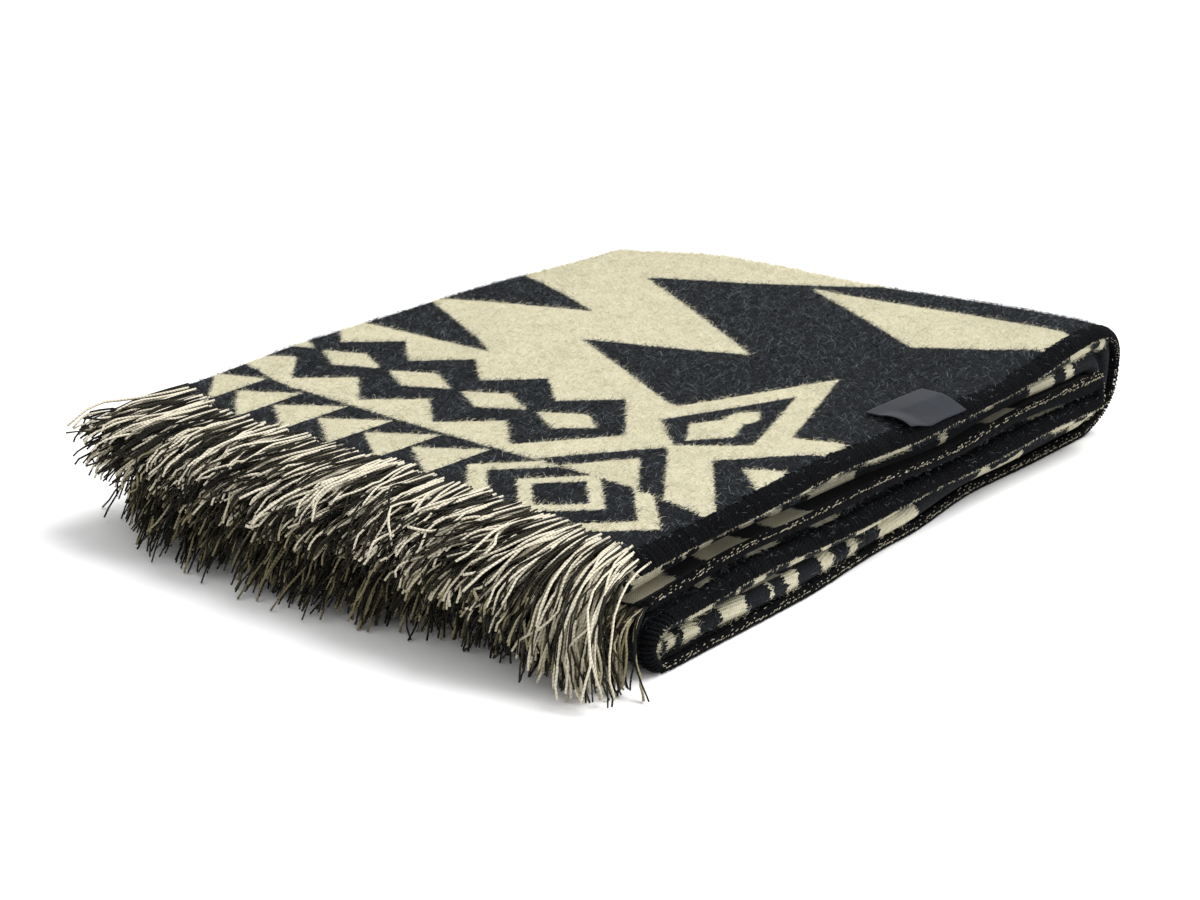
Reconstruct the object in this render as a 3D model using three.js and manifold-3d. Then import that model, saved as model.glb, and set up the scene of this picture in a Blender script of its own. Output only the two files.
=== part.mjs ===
// Throw blanket with a yarn fringe, folded in thirds across its width and in quarters along its
// length, as it lies on a shelf. Millimetres, Z up.
// X runs from the fringed end to the folded end. Y runs from the side with the open edges to the
// side with the long creases. Both ends of the cloth, with their fringe, lie at the low X end.

import * as THREE from 'three';
import { mergeVertices } from 'three/addons/utils/BufferGeometryUtils.js';
import Module from 'manifold-3d';

const wasm = await Module();
wasm.setup();

// Cloth
const FLAT_WIDTH = 1200;
const CLOTH_THICKNESS = 4.2;
const LAYER_PITCH = 6;
const LAYER_TURN = LAYER_PITCH / 2;
const PASS_PITCH = 3 * LAYER_PITCH;
const LAYER_COUNT = 12;
const FREE_EDGE_INSET = 1;
const STACK_HEIGHT = (LAYER_COUNT - 1) * LAYER_PITCH + CLOTH_THICKNESS;
const TOP_PASS_Z = STACK_HEIGHT - CLOTH_THICKNESS / 2 - LAYER_PITCH;

// The way that the folded strip takes, seen from its open side. It starts at the fringe of the top
// pass, drops round the outer turn to the floor, comes back, and ends at the fringe of pass 2.
// A turn's sense is -1 where the strip turns down to its right and 1 where it turns to its left.
const ROUTE = [
  { name: 'pass_1', length: 467, steps: 12 },
  { name: 'outer_turn', radius: 27, sense: -1, steps: 10 },
  { name: 'pass_4', length: 452, steps: 9 },
  { name: 'low_turn', radius: 9, sense: -1, steps: 6 },
  { name: 'pass_3', length: 447, steps: 9 },
  { name: 'inner_turn', radius: 9, sense: 1, steps: 6 },
  { name: 'pass_2', length: 460, steps: 10 },
];

// Where the long edge, the front crease and the back crease lie in Y, as the strip passes along.
// The share is how far along its pass a row stands.
const SIDES = [
  { pass: 'pass_1', share: 0.0, edge: 1, crease: 5, back: 393 },
  { pass: 'pass_1', share: 0.3, edge: -2, crease: 3, back: 397 },
  { pass: 'pass_1', share: 0.65, edge: -3, crease: 3, back: 400 },
  { pass: 'pass_1', share: 1.0, edge: -3, crease: 1, back: 396 },
  { pass: 'pass_4', share: 0.0, edge: 11, crease: 14, back: 394 },
  { pass: 'pass_4', share: 0.25, edge: 12, crease: 14, back: 397 },
  { pass: 'pass_4', share: 0.5, edge: 2, crease: 4, back: 399 },
  { pass: 'pass_4', share: 0.75, edge: -6, crease: -3, back: 398 },
  { pass: 'pass_4', share: 1.0, edge: -9, crease: -2, back: 395 },
  { pass: 'pass_3', share: 0.0, edge: -9, crease: -2, back: 395 },
  { pass: 'pass_3', share: 0.35, edge: -6, crease: -1, back: 399 },
  { pass: 'pass_3', share: 0.7, edge: -3, crease: 4, back: 398 },
  { pass: 'pass_3', share: 1.0, edge: -6, crease: 2, back: 393 },
  { pass: 'pass_2', share: 0.0, edge: -5, crease: 4, back: 393 },
  { pass: 'pass_2', share: 0.3, edge: -3, crease: 11, back: 398 },
  { pass: 'pass_2', share: 0.7, edge: -4, crease: 16, back: 399 },
  { pass: 'pass_2', share: 1.0, edge: -2, crease: 15, back: 394 },
];

// Points across the section: along each layer, and round each crease
const POINTS_A_LAYER = 6;
const POINTS_A_CREASE = 4;

// Lie of the whole stack: low soft hills of its top, each of the given reach. A swell lifts the whole
// height by its share. A loft lifts only what lies over the inner turn, which stands open there.
const SWELLS = [
  { x: 240, y: 220, reach: 420, lift: 4 },
  { x: 250, y: 400, reach: 260, lift: 3 },
  { x: -5, y: 0, reach: 120, lift: -6 },
];
const LOFTS = [
  { x: 480, y: 20, reach: 200, lift: 9 },
  { x: 500, y: 240, reach: 240, lift: 6 },
];
const LOFT_FROM = 31;
const LOFT_TO = 44;

// How far each end of the cloth draws in along X towards the back
const DRAWS = [
  { x: 0, reach: 160, depth: 22, fromY: 330, toY: 400 },
  { x: 503, reach: 200, depth: -26, fromY: 310, toY: 400 },
];

// Fringe: six rows of locks, one for each layer that ends at the low X side
const ROWS = [
  { name: 'fringe_1', layer: 1, out: 57, tip: 56, cornerOut: 50, cornerTip: 10, rear: 16, waist: 0 },
  { name: 'fringe_2', layer: 0, out: 61, tip: 47, cornerOut: 46, cornerTip: 7, rear: 14, waist: 0 },
  { name: 'fringe_3', layer: -1, out: 63, tip: 37, cornerOut: 42, cornerTip: 4, rear: 10, waist: 0 },
  { name: 'fringe_4', layer: -1, out: 64, tip: 23, cornerOut: 38, cornerTip: 3, rear: 2, waist: 0.25 },
  { name: 'fringe_5', layer: 0, out: 66, tip: 11, cornerOut: 33, cornerTip: 2, rear: -2, waist: 0.26 },
  { name: 'fringe_6', layer: 1, out: 68, tip: 1, cornerOut: 28, cornerTip: 1, rear: -6, waist: 0.27 },
];
const UPPER_ROWS = { count: 3, cornerReach: 70 };
const LOWER_ROWS = { count: 3, cornerReach: 48 };
const WAIST = { fromY: 70, toY: 170 };
const LANDING = 0.45;
const CORNER_LANDING = 0.2;
const LOCKS_A_ROW = 30;
const LOCK_SIDES = 3;
const LOCK_SEGMENTS = 4;
const LOCK_ROOT = { width: 9, height: 2.6 };
const LOCK_TIP = { width: 6, height: 1.8 };
const LOCK_SWAY = 3;
const SHORTEST_LOCK = 0.88;
const TANGENT_STEP = 0.02;
const CORNER_CORE = 8;
const CORNER_FAN = 10;
const REAR = { fromY: 300, toY: 400, rise: 0.15 };
const BACKING = { gap: 0.4, depth: 3, height: 2.4, inset: 1 };

// Label
const LABEL = { x0: 240, x1: 300, y0: -3, y1: 29, thickness: 0.8, clearance: 0.6, columns: 8, rows: 6 };
const LABEL_FLARE = { lift: 5, reach: 24 };

const smooth = (t) => {
  const c = Math.min(1, Math.max(0, t));
  return c * c * (3 - 2 * c);
};
const mix = (a, b, t) => a + (b - a) * t;

// A repeatable stream of numbers from 0 to 1
function makeStream(seed) {
  let state = seed;
  return () => {
    state = (state * 16807) % 2147483647;
    return state / 2147483647;
  };
}

// The lift of a soft hill at a point
function hillAt(hill, point) {
  const away = Math.hypot(point.x - hill.x, point.y - hill.y) / hill.reach;
  return away < 1 ? hill.lift * 0.5 * (1 + Math.cos(Math.PI * away)) : 0;
}

// The whole stack's lie: hills on top, drawn-in ends at the back, and a base that stays flat
function settle(point) {
  const height = point.z / STACK_HEIGHT;
  const loft = smooth((point.z - LOFT_FROM) / (LOFT_TO - LOFT_FROM));
  let lift = 0;
  for (const swell of SWELLS) lift += hillAt(swell, point) * height;
  for (const hill of LOFTS) lift += hillAt(hill, point) * loft;
  let shift = 0;
  for (const draw of DRAWS) {
    const drawn = smooth((point.y - draw.fromY) / (draw.toY - draw.fromY));
    const near = 1 - smooth(Math.abs(point.x - draw.x) / draw.reach);
    shift += draw.depth * drawn * near;
  }
  return new THREE.Vector3(point.x + shift, point.y, point.z + lift);
}

// The strip's stations: place, heading and how far along the cloth each one stands
function walkRoute() {
  const stations = [];
  const starts = {};
  let x = 0;
  let z = TOP_PASS_Z;
  let heading = 0;
  let along = 0;
  for (const leg of ROUTE) {
    starts[leg.name] = { along, length: leg.length ?? Math.PI * leg.radius };
    const first = stations.length === 0 ? 0 : 1;
    for (let i = first; i <= leg.steps; i += 1) {
      const t = i / leg.steps;
      if (leg.length) {
        const run = t * leg.length;
        stations.push({ x: x + Math.cos(heading) * run, z, heading, along: along + run });
      } else {
        const angle = Math.PI * t * leg.sense;
        const centreZ = z + leg.sense * leg.radius * Math.cos(heading);
        stations.push({
          x: x + Math.sin(Math.PI * t) * leg.radius * Math.cos(heading),
          z: centreZ - leg.sense * leg.radius * Math.cos(heading) * Math.cos(Math.PI * t),
          heading: heading + angle,
          along: along + Math.PI * leg.radius * t,
        });
      }
    }
    const last = stations[stations.length - 1];
    x = last.x;
    z = last.z;
    heading = last.heading;
    along = last.along;
  }
  return { stations, starts };
}

const { stations, starts } = walkRoute();

// Edge, front crease and back crease at a place along the strip
function sidesAt(along) {
  const rows = SIDES.map((row) => {
    const pass = starts[row.pass];
    return { ...row, along: pass.along + row.share * pass.length };
  });
  let i = 0;
  while (i < rows.length - 2 && along > rows[i + 1].along) i += 1;
  const t = smooth((along - rows[i].along) / (rows[i + 1].along - rows[i].along));
  return {
    edge: mix(rows[i].edge, rows[i + 1].edge, t),
    crease: mix(rows[i].crease, rows[i + 1].crease, t),
    back: mix(rows[i].back, rows[i + 1].back, t),
  };
}

// The section across the strip: three layers and two creases, from the long edge that shows on top
// to the edge that lies hidden. Each point has its place and the direction of the cloth's face.
function sectionAt(along) {
  const { edge, crease, back } = sidesAt(along);
  const points = [];
  const layer = (from, to, offset, face) => {
    for (let i = 0; i < POINTS_A_LAYER; i += 1) {
      points.push({ y: mix(from, to, i / (POINTS_A_LAYER - 1)), n: offset, faceY: 0, faceN: face });
    }
  };
  const turn = (centre, offset, sense) => {
    for (let i = 1; i <= POINTS_A_CREASE; i += 1) {
      const angle = Math.PI * (i / (POINTS_A_CREASE + 1));
      const outY = sense * Math.sin(angle);
      const outN = Math.cos(angle);
      points.push({
        y: centre + outY * LAYER_TURN,
        n: offset + outN * LAYER_TURN,
        faceY: sense * outY,
        faceN: sense * outN,
      });
    }
  };
  const backTurn = back - LAYER_TURN;
  const frontTurn = crease + LAYER_TURN;
  const used = backTurn - edge + (backTurn - frontTurn) + 2 * Math.PI * LAYER_TURN;
  layer(edge, backTurn, LAYER_PITCH, 1);
  turn(backTurn, LAYER_TURN, 1);
  layer(backTurn, frontTurn, 0, -1);
  turn(frontTurn, -LAYER_TURN, -1);
  const freeEdge = Math.min(frontTurn + FLAT_WIDTH - used, back - FREE_EDGE_INSET);
  layer(frontTurn, freeEdge, -LAYER_PITCH, 1);
  return points;
}

// A point of a section, set on its station and settled with the stack
function placeOn(station, y, n) {
  return settle(new THREE.Vector3(
    station.x - n * Math.sin(station.heading),
    y,
    station.z + n * Math.cos(station.heading),
  ));
}

// A closed mesh from two matching grids of points, the upper face and the lower face of a sheet
function closeSheet(upper, lower) {
  const rows = upper.length;
  const columns = upper[0].length;
  const positions = [];
  for (const grid of [upper, lower]) {
    for (const row of grid) {
      for (const point of row) positions.push(point.x, point.y, point.z);
    }
  }
  const up = (i, j) => i * columns + j;
  const low = (i, j) => rows * columns + i * columns + j;
  const faces = [];
  const quad = (a, b, c, d) => faces.push(a, b, c, a, c, d);
  for (let i = 0; i < rows - 1; i += 1) {
    for (let j = 0; j < columns - 1; j += 1) {
      quad(up(i, j), up(i + 1, j), up(i + 1, j + 1), up(i, j + 1));
      quad(low(i, j), low(i, j + 1), low(i + 1, j + 1), low(i + 1, j));
    }
    quad(up(i, 0), low(i, 0), low(i + 1, 0), up(i + 1, 0));
    quad(up(i, columns - 1), up(i + 1, columns - 1), low(i + 1, columns - 1), low(i, columns - 1));
  }
  for (let j = 0; j < columns - 1; j += 1) {
    quad(up(0, j), up(0, j + 1), low(0, j + 1), low(0, j));
    quad(up(rows - 1, j), low(rows - 1, j), low(rows - 1, j + 1), up(rows - 1, j + 1));
  }
  const geometry = new THREE.BufferGeometry();
  geometry.setAttribute('position', new THREE.Float32BufferAttribute(positions, 3));
  geometry.setIndex(faces);
  return geometry;
}

// The whole cloth as one sheet of its real thickness along the strip
function makeCloth() {
  const half = CLOTH_THICKNESS / 2;
  const faceGrid = (side) => stations.map((station) => sectionAt(station.along).map((point) => placeOn(
    station,
    point.y + side * half * point.faceY,
    point.n + side * half * point.faceN,
  )));
  return closeSheet(faceGrid(1), faceGrid(-1));
}

// The cloth's end that a fringe row grows from: its points from the front to the back
function rowEnd(row) {
  const station = groupOf(row) === UPPER_ROWS ? stations[0] : stations[stations.length - 1];
  return sectionAt(station.along)
    .filter((point) => point.n === row.layer * LAYER_PITCH)
    .sort((one, other) => one.y - other.y)
    .map((point) => placeOn(station, point.y, point.n));
}

// The point of a row of points that stands at the given Y
function pointAt(line, y) {
  let i = 0;
  while (i < line.length - 2 && y > line[i + 1].y) i += 1;
  return line[i].clone().lerp(line[i + 1], (y - line[i].y) / (line[i + 1].y - line[i].y));
}

// The narrow strip that a row's locks are rooted in
function makeBacking(end, front, back) {
  const stops = [front, ...end.map((point) => point.y).filter((y) => y > front && y < back), back];
  const grid = (height) => stops.map((y) => [0, BACKING.depth].map((depth) => {
    const point = pointAt(end, y);
    return new THREE.Vector3(point.x - BACKING.gap - depth, point.y, point.z + height);
  }));
  return closeSheet(grid(BACKING.height / 2), grid(-BACKING.height / 2));
}

// The upper rows grow from the first pass and the lower rows from the last
function groupOf(row) {
  return ROWS.indexOf(row) < UPPER_ROWS.count ? UPPER_ROWS : LOWER_ROWS;
}

function cornerShare(row, y) {
  return 1 - smooth((y - CORNER_CORE) / (groupOf(row).cornerReach - CORNER_CORE));
}

// Where a row's yarns run: out and down from the cloth's end, almost straight down to the floor at
// the front corner, and further out at the back, where the cloth draws in. Y picks the place along
// the row and t goes from the root to the cut tips.
function rowPoint(row, end, y, t) {
  const root = pointAt(end, y);
  const corner = cornerShare(row, y);
  const rear = smooth((y - REAR.fromY) / (REAR.toY - REAR.fromY));
  const drawnIn = row.waist * (1 - smooth((y - WAIST.fromY) / (WAIST.toY - WAIST.fromY)));
  const out = mix(row.out * (1 - drawnIn), row.cornerOut, corner) + row.rear * rear;
  const tip = mix(row.tip, row.cornerTip, corner) * (1 + REAR.rise * rear);
  const drop = root.z - tip;
  const startX = root.x - BACKING.gap - BACKING.depth / 2;
  const landing = mix(LANDING, CORNER_LANDING, corner);
  const curve = new THREE.CubicBezierCurve3(
    new THREE.Vector3(startX, y, root.z),
    new THREE.Vector3(startX - out * mix(0.5, 0.95, corner), y, root.z - drop * 0.06),
    new THREE.Vector3(startX - out * mix(0.8, 0.97, corner), y, tip + drop * landing),
    new THREE.Vector3(startX - out, y, tip),
  );
  return curve.getPoint(t);
}

// A lock of yarns: a tapered three-sided strand on its row, with its own length and sway
function makeLock(row, end, rootY, stream) {
  const reach = mix(SHORTEST_LOCK, 1, stream());
  const sway = (stream() - 0.5) * 2 * LOCK_SWAY;
  const fan = sway - CORNER_FAN * cornerShare(row, rootY);
  const pointOn = (t, across) => rowPoint(row, end, rootY + fan * t * t + across, t * reach);
  const positions = [];
  for (let i = 0; i <= LOCK_SEGMENTS; i += 1) {
    const t = i / LOCK_SEGMENTS;
    const ahead = pointOn(t + TANGENT_STEP, 0).sub(pointOn(t - TANGENT_STEP, 0)).normalize();
    const side = pointOn(t, 1).sub(pointOn(t, -1)).normalize();
    const up = new THREE.Vector3().crossVectors(side, ahead).normalize();
    const halfWidth = mix(LOCK_ROOT.width, LOCK_TIP.width, t) / 2;
    const halfHeight = mix(LOCK_ROOT.height, LOCK_TIP.height, t) / 2;
    for (let k = 0; k < LOCK_SIDES; k += 1) {
      const angle = Math.PI / 2 + (2 * Math.PI * k) / LOCK_SIDES;
      const point = pointOn(t, Math.cos(angle) * halfWidth)
        .addScaledVector(up, Math.sin(angle) * halfHeight);
      positions.push(point.x, point.y, Math.max(point.z, 0));
    }
  }
  const faces = [];
  for (let i = 0; i < LOCK_SEGMENTS; i += 1) {
    for (let k = 0; k < LOCK_SIDES; k += 1) {
      const a = i * LOCK_SIDES + k;
      const b = i * LOCK_SIDES + ((k + 1) % LOCK_SIDES);
      faces.push(a, a + LOCK_SIDES, b, b, a + LOCK_SIDES, b + LOCK_SIDES);
    }
  }
  const tipStart = LOCK_SEGMENTS * LOCK_SIDES;
  faces.push(0, 1, 2, tipStart, tipStart + 2, tipStart + 1);
  const geometry = new THREE.BufferGeometry();
  geometry.setAttribute('position', new THREE.Float32BufferAttribute(positions, 3));
  geometry.setIndex(faces);
  return geometry;
}

// A closed mesh becomes a solid that can be joined
function toSolid(geometry) {
  const clean = mergeVertices(geometry);
  const solid = new wasm.Manifold(new wasm.Mesh({
    numProp: 3,
    vertProperties: Float32Array.from(clean.attributes.position.array),
    triVerts: Uint32Array.from(clean.index.array),
  }));
  if (solid.volume() < 0) throw new Error('a piece is inside out');
  return solid;
}

function toGeometry(solid) {
  const mesh = solid.getMesh();
  const geometry = new THREE.BufferGeometry();
  geometry.setAttribute('position', new THREE.Float32BufferAttribute(mesh.vertProperties, 3));
  geometry.setIndex(Array.from(mesh.triVerts));
  return geometry;
}

// One row of fringe: its backing strip with the locks joined to it
function makeFringe(row, seed) {
  const stream = makeStream(seed);
  const end = rowEnd(row);
  const front = end[0].y + BACKING.inset;
  const back = end[end.length - 1].y - BACKING.inset;
  const pieces = [toSolid(makeBacking(end, front, back))];
  for (let i = 0; i < LOCKS_A_ROW; i += 1) {
    const y = mix(front + LOCK_ROOT.width / 2, back - LOCK_ROOT.width / 2, i / (LOCKS_A_ROW - 1));
    pieces.push(toSolid(makeLock(row, end, y, stream)));
  }
  return toGeometry(wasm.Manifold.union(pieces));
}

// The label lies on the top face, with its near corner lifted off the nap
function makeLabel() {
  const base = STACK_HEIGHT + LABEL.clearance;
  const grid = (height) => {
    const rows = [];
    for (let i = 0; i <= LABEL.columns; i += 1) {
      const row = [];
      for (let j = 0; j <= LABEL.rows; j += 1) {
        const x = mix(LABEL.x0, LABEL.x1, i / LABEL.columns);
        const y = mix(LABEL.y0, LABEL.y1, j / LABEL.rows);
        const away = Math.hypot(x - LABEL.x0, y - LABEL.y0) / LABEL_FLARE.reach;
        const flare = LABEL_FLARE.lift * (1 - smooth(away));
        row.push(settle(new THREE.Vector3(x, y, base + height + flare)));
      }
      rows.push(row);
    }
    return rows;
  };
  return closeSheet(grid(LABEL.thickness), grid(0));
}

const CLOTH_FINISH = { color: 0x3a3d3f, roughness: 0.95, metalness: 0 };
const FRINGE_FINISH = { color: 0xb8b196, roughness: 0.9, metalness: 0 };
const LABEL_FINISH = { color: 0x4a4d57, roughness: 0.55, metalness: 0 };

const throwBlanket = new THREE.Group();

function addPiece(name, geometry, finish) {
  geometry.computeVertexNormals();
  const mesh = new THREE.Mesh(geometry, new THREE.MeshStandardMaterial(finish));
  mesh.name = name;
  throwBlanket.add(mesh);
}

addPiece('cloth', makeCloth(), CLOTH_FINISH);
ROWS.forEach((row, index) => addPiece(row.name, makeFringe(row, 101 + index), FRINGE_FINISH));
addPiece('label', makeLabel(), LABEL_FINISH);

// The origin is the middle of the base
const box = new THREE.Box3().setFromObject(throwBlanket);
throwBlanket.position.set(-(box.min.x + box.max.x) / 2, -(box.min.y + box.max.y) / 2, -box.min.z);

export default throwBlanket;
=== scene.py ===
"""Folded throw blanket with a yarn fringe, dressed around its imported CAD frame.

The cloth is one long strip, folded in thirds across and in quarters along. Everything on it, such as
nap, stitching and pattern, is placed by where it lies on the flat cloth, and then folded with it.
Sizes are millimetres in the fold's own frame: X from the fringed end, Y from the open side, Z up.
"""

import logging
import math
from dataclasses import dataclass, field
from enum import Enum

import bpy
import numpy as np
from mathutils import Matrix, Vector

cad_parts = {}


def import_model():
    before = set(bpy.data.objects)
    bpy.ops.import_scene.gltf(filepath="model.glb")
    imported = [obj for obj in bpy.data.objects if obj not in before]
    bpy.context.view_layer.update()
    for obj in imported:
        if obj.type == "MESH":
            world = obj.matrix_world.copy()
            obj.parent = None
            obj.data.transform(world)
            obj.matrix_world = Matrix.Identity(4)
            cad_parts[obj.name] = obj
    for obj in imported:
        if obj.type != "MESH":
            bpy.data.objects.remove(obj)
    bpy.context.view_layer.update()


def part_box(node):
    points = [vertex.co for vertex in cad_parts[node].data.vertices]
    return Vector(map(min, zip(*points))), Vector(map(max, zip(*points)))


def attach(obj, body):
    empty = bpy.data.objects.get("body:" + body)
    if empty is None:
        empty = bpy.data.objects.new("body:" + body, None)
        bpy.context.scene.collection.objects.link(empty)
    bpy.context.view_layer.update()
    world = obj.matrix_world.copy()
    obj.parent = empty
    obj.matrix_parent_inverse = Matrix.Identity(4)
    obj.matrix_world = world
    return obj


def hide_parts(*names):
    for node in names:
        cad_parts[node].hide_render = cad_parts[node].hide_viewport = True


LOG = logging.getLogger("throw_blanket")
MM = 0.001
SECTION_CORNERS = 4

Array = np.ndarray
Outline = tuple[tuple[float, float], ...]


def smooth(share: Array) -> Array:
    """Eases a share from 0 to 1."""
    kept = np.clip(share, 0.0, 1.0)
    return kept * kept * (3.0 - 2.0 * kept)


def mix(low: Array, high: Array, share: Array) -> Array:
    """Blends two values by a share."""
    return low + (high - low) * share


def unit(vectors: Array) -> Array:
    """Scales vectors to length one."""
    length = np.linalg.norm(vectors, axis=-1, keepdims=True)
    return vectors / np.maximum(length, 1e-9)


def srgb(code: str) -> tuple[float, float, float, float]:
    """Turns an sRGB hex colour into a linear one.

    Args:
        code: Six hex digits, such as "DAD3B2".

    Returns:
        Linear red, green, blue and an alpha of 1.
    """
    values = [int(code[i:i + 2], 16) / 255.0 for i in (0, 2, 4)]
    linear = [v / 12.92 if v <= 0.04045 else ((v + 0.055) / 1.055) ** 2.4 for v in values]
    return (*linear, 1.0)


@dataclass(frozen=True)
class Leg:
    """One straight pass of the folded strip, or one of its turns."""

    name: str
    length: float = 0.0
    radius: float = 0.0
    sense: int = 0

    @property
    def run(self) -> float:
        """How much of the cloth's length the leg takes."""
        return self.length or math.pi * self.radius


@dataclass(frozen=True)
class SideRow:
    """Where the free edge, the front crease and the back crease lie in Y at one place of a pass."""

    leg: str
    share: float
    edge: float
    crease: float
    back: float
    curl: float = 0.0


@dataclass(frozen=True)
class Hill:
    """A soft round hill of the stack's top."""

    x: float
    y: float
    reach: float
    lift: float

    def at(self, points: Array) -> Array:
        """Gives the hill's lift at each point."""
        away = np.hypot(points[..., 0] - self.x, points[..., 1] - self.y) / self.reach
        return np.where(away < 1.0, self.lift * 0.5 * (1.0 + np.cos(np.pi * away)), 0.0)


@dataclass(frozen=True)
class Draw:
    """An end of the cloth that draws in along X towards the back corner."""

    x: float
    reach: float
    depth: float
    from_y: float
    to_y: float

    def at(self, points: Array) -> Array:
        """Gives the shift in X at each point."""
        towards_back = smooth((points[..., 1] - self.from_y) / (self.to_y - self.from_y))
        near = 1.0 - smooth(np.abs(points[..., 0] - self.x) / self.reach)
        return self.depth * towards_back * near


@dataclass(frozen=True)
class Wave:
    """One wave along X of the cloth's ripples: its size, its length over a full turn, and its start."""

    size: float
    length: float
    start: float = 0.0
    level_turn: float = 0.0

    def at(self, x: Array, level: Array) -> Array:
        """Gives the wave's height at places along X and up the stack."""
        return self.size * np.sin(x / self.length + self.start + level * self.level_turn)


@dataclass(frozen=True)
class FoldedStrip:
    """The way that the cloth takes from one fringed end to the other."""

    thickness: float = 4.2
    pitch: float = 6.0
    flat_width: float = 1200.0
    layers: int = 12
    free_inset: float = 1.0
    curl_reach: float = 16.0
    curl_power: float = 1.4
    curl_past_edge: float = 1.1
    loft_from: float = 31.0
    loft_to: float = 44.0
    legs: tuple[Leg, ...] = (
        Leg("pass_1", length=467.0),
        Leg("outer_turn", radius=27.0, sense=-1),
        Leg("pass_4", length=452.0),
        Leg("low_turn", radius=9.0, sense=-1),
        Leg("pass_3", length=447.0),
        Leg("inner_turn", radius=9.0, sense=1),
        Leg("pass_2", length=460.0),
    )
    sides: tuple[SideRow, ...] = (
        SideRow("pass_1", 0.0, 1, 5, 393, -7.0),
        SideRow("pass_1", 0.3, -2, 3, 397, -5.5),
        SideRow("pass_1", 0.65, -3, 3, 400, -5.0),
        SideRow("pass_1", 1.0, -3, 1, 396, -3.5),
        SideRow("pass_4", 0.0, 11, 14, 394, 0.0),
        SideRow("pass_4", 0.25, 12, 14, 397, 0.0),
        SideRow("pass_4", 0.5, 2, 4, 399, 0.0),
        SideRow("pass_4", 0.75, -6, -3, 398, 0.0),
        SideRow("pass_4", 1.0, -9, -2, 395, 0.0),
        SideRow("pass_3", 0.0, -9, -2, 395, -2.0),
        SideRow("pass_3", 0.35, -6, -1, 399, -4.5),
        SideRow("pass_3", 0.7, -3, 4, 398, -5.5),
        SideRow("pass_3", 1.0, -6, 2, 393, -2.0),
        SideRow("pass_2", 0.0, -5, 4, 393, 2.0),
        SideRow("pass_2", 0.3, -3, 11, 398, 5.0),
        SideRow("pass_2", 0.7, -4, 16, 399, 5.5),
        SideRow("pass_2", 1.0, -2, 15, 394, 4.0),
    )
    swells: tuple[Hill, ...] = (
        Hill(240, 220, 420, 4.0),
        Hill(250, 400, 260, 3.0),
        Hill(-5, 0, 120, -6.0),
    )
    lofts: tuple[Hill, ...] = (Hill(480, 20, 200, 9.0), Hill(500, 240, 240, 6.0))
    draws: tuple[Draw, ...] = (Draw(0, 160, 22, 330, 400), Draw(503, 200, -26, 310, 400))
    ripples: tuple[Wave, ...] = (Wave(1.0, 23.0, 0.0, 0.11), Wave(0.8, 41.0, 1.3, -0.07))
    ripple_depth: float = 70.0
    ripple_lift: float = 0.9
    ripple_shift: float = 0.5
    swale_along: Wave = Wave(1.0, 67.0, 0.5)
    swale_across: Wave = Wave(1.0, 59.0, 1.1)
    swale_slant: Wave = Wave(0.6, 31.0)
    swale_slant_across: float = 47.0
    swale_lift: float = 0.6

    @property
    def half(self) -> float:
        """Half of the cloth's thickness."""
        return self.thickness / 2.0

    @property
    def turn(self) -> float:
        """The radius of a crease at mid cloth."""
        return self.pitch / 2.0

    @property
    def stack_height(self) -> float:
        """The height of all the layers."""
        return (self.layers - 1) * self.pitch + self.thickness

    @property
    def length(self) -> float:
        """The cloth's length between its two fringed ends."""
        return sum(leg.run for leg in self.legs)

    def start_of(self, name: str) -> float:
        """Gives how far along the cloth a leg starts."""
        along = 0.0
        for leg in self.legs:
            if leg.name == name:
                return along
            along += leg.run
        raise ValueError(f"the fold has no leg named {name}")

    def leg_named(self, name: str) -> Leg:
        """Finds a leg by its name."""
        return next(leg for leg in self.legs if leg.name == name)

    def station(self, along: Array) -> tuple[Array, Array, Array]:
        """Walks along the strip's middle layer.

        Args:
            along: Distances from the first fringed end.

        Returns:
            X, Z and heading of the middle layer at each distance.
        """
        x, z, heading = (np.zeros_like(along) for _ in range(3))
        leg_x, leg_heading, leg_start = 0.0, 0.0, 0.0
        leg_z = self.stack_height - self.half - self.pitch
        for index, leg in enumerate(self.legs):
            last = index == len(self.legs) - 1
            inside = (along >= leg_start if index else np.full(along.shape, True)) & (
                np.full(along.shape, True) if last else along < leg_start + leg.run
            )
            run = along[inside] - leg_start
            ahead = math.cos(leg_heading)
            if leg.length:
                x[inside] = leg_x + ahead * run
                z[inside] = leg_z
                heading[inside] = leg_heading
                leg_x += ahead * leg.length
            else:
                angle = run / leg.radius
                rise = leg.sense * leg.radius * ahead
                x[inside] = leg_x + np.sin(angle) * leg.radius * ahead
                z[inside] = leg_z + rise * (1.0 - np.cos(angle))
                heading[inside] = leg_heading + leg.sense * angle
                leg_z += 2.0 * rise
                leg_heading += math.pi * leg.sense
            leg_start += leg.run
        return x, z, heading

    def sides_at(self, along: Array) -> tuple[Array, Array, Array, Array]:
        """Gives the Y of free edge, front crease and back crease, and the edge's curl."""
        marks = np.array([
            self.start_of(row.leg) + row.share * self.leg_named(row.leg).run for row in self.sides
        ])
        index = np.clip(np.searchsorted(marks, along) - 1, 0, len(marks) - 2)
        share = smooth((along - marks[index]) / np.maximum(marks[index + 1] - marks[index], 1e-6))
        table = np.array([(row.edge, row.crease, row.back, row.curl) for row in self.sides], float)
        values = mix(table[index], table[index + 1], share[..., None])
        return values[..., 0], values[..., 1], values[..., 2], values[..., 3]

    def spans(self, along: Array) -> tuple[Array, Array, Array]:
        """Gives where the first layer, the second and the whole cloth end, across the flat cloth."""
        edge, crease, back, _ = self.sides_at(along)
        back_turn, front_turn = back - self.turn, crease + self.turn
        bend = math.pi * self.turn
        first = back_turn - edge
        second = first + bend + back_turn - front_turn
        free = np.minimum(self.flat_width - second - bend, back - self.free_inset - front_turn)
        return first, second, second + bend + free

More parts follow.
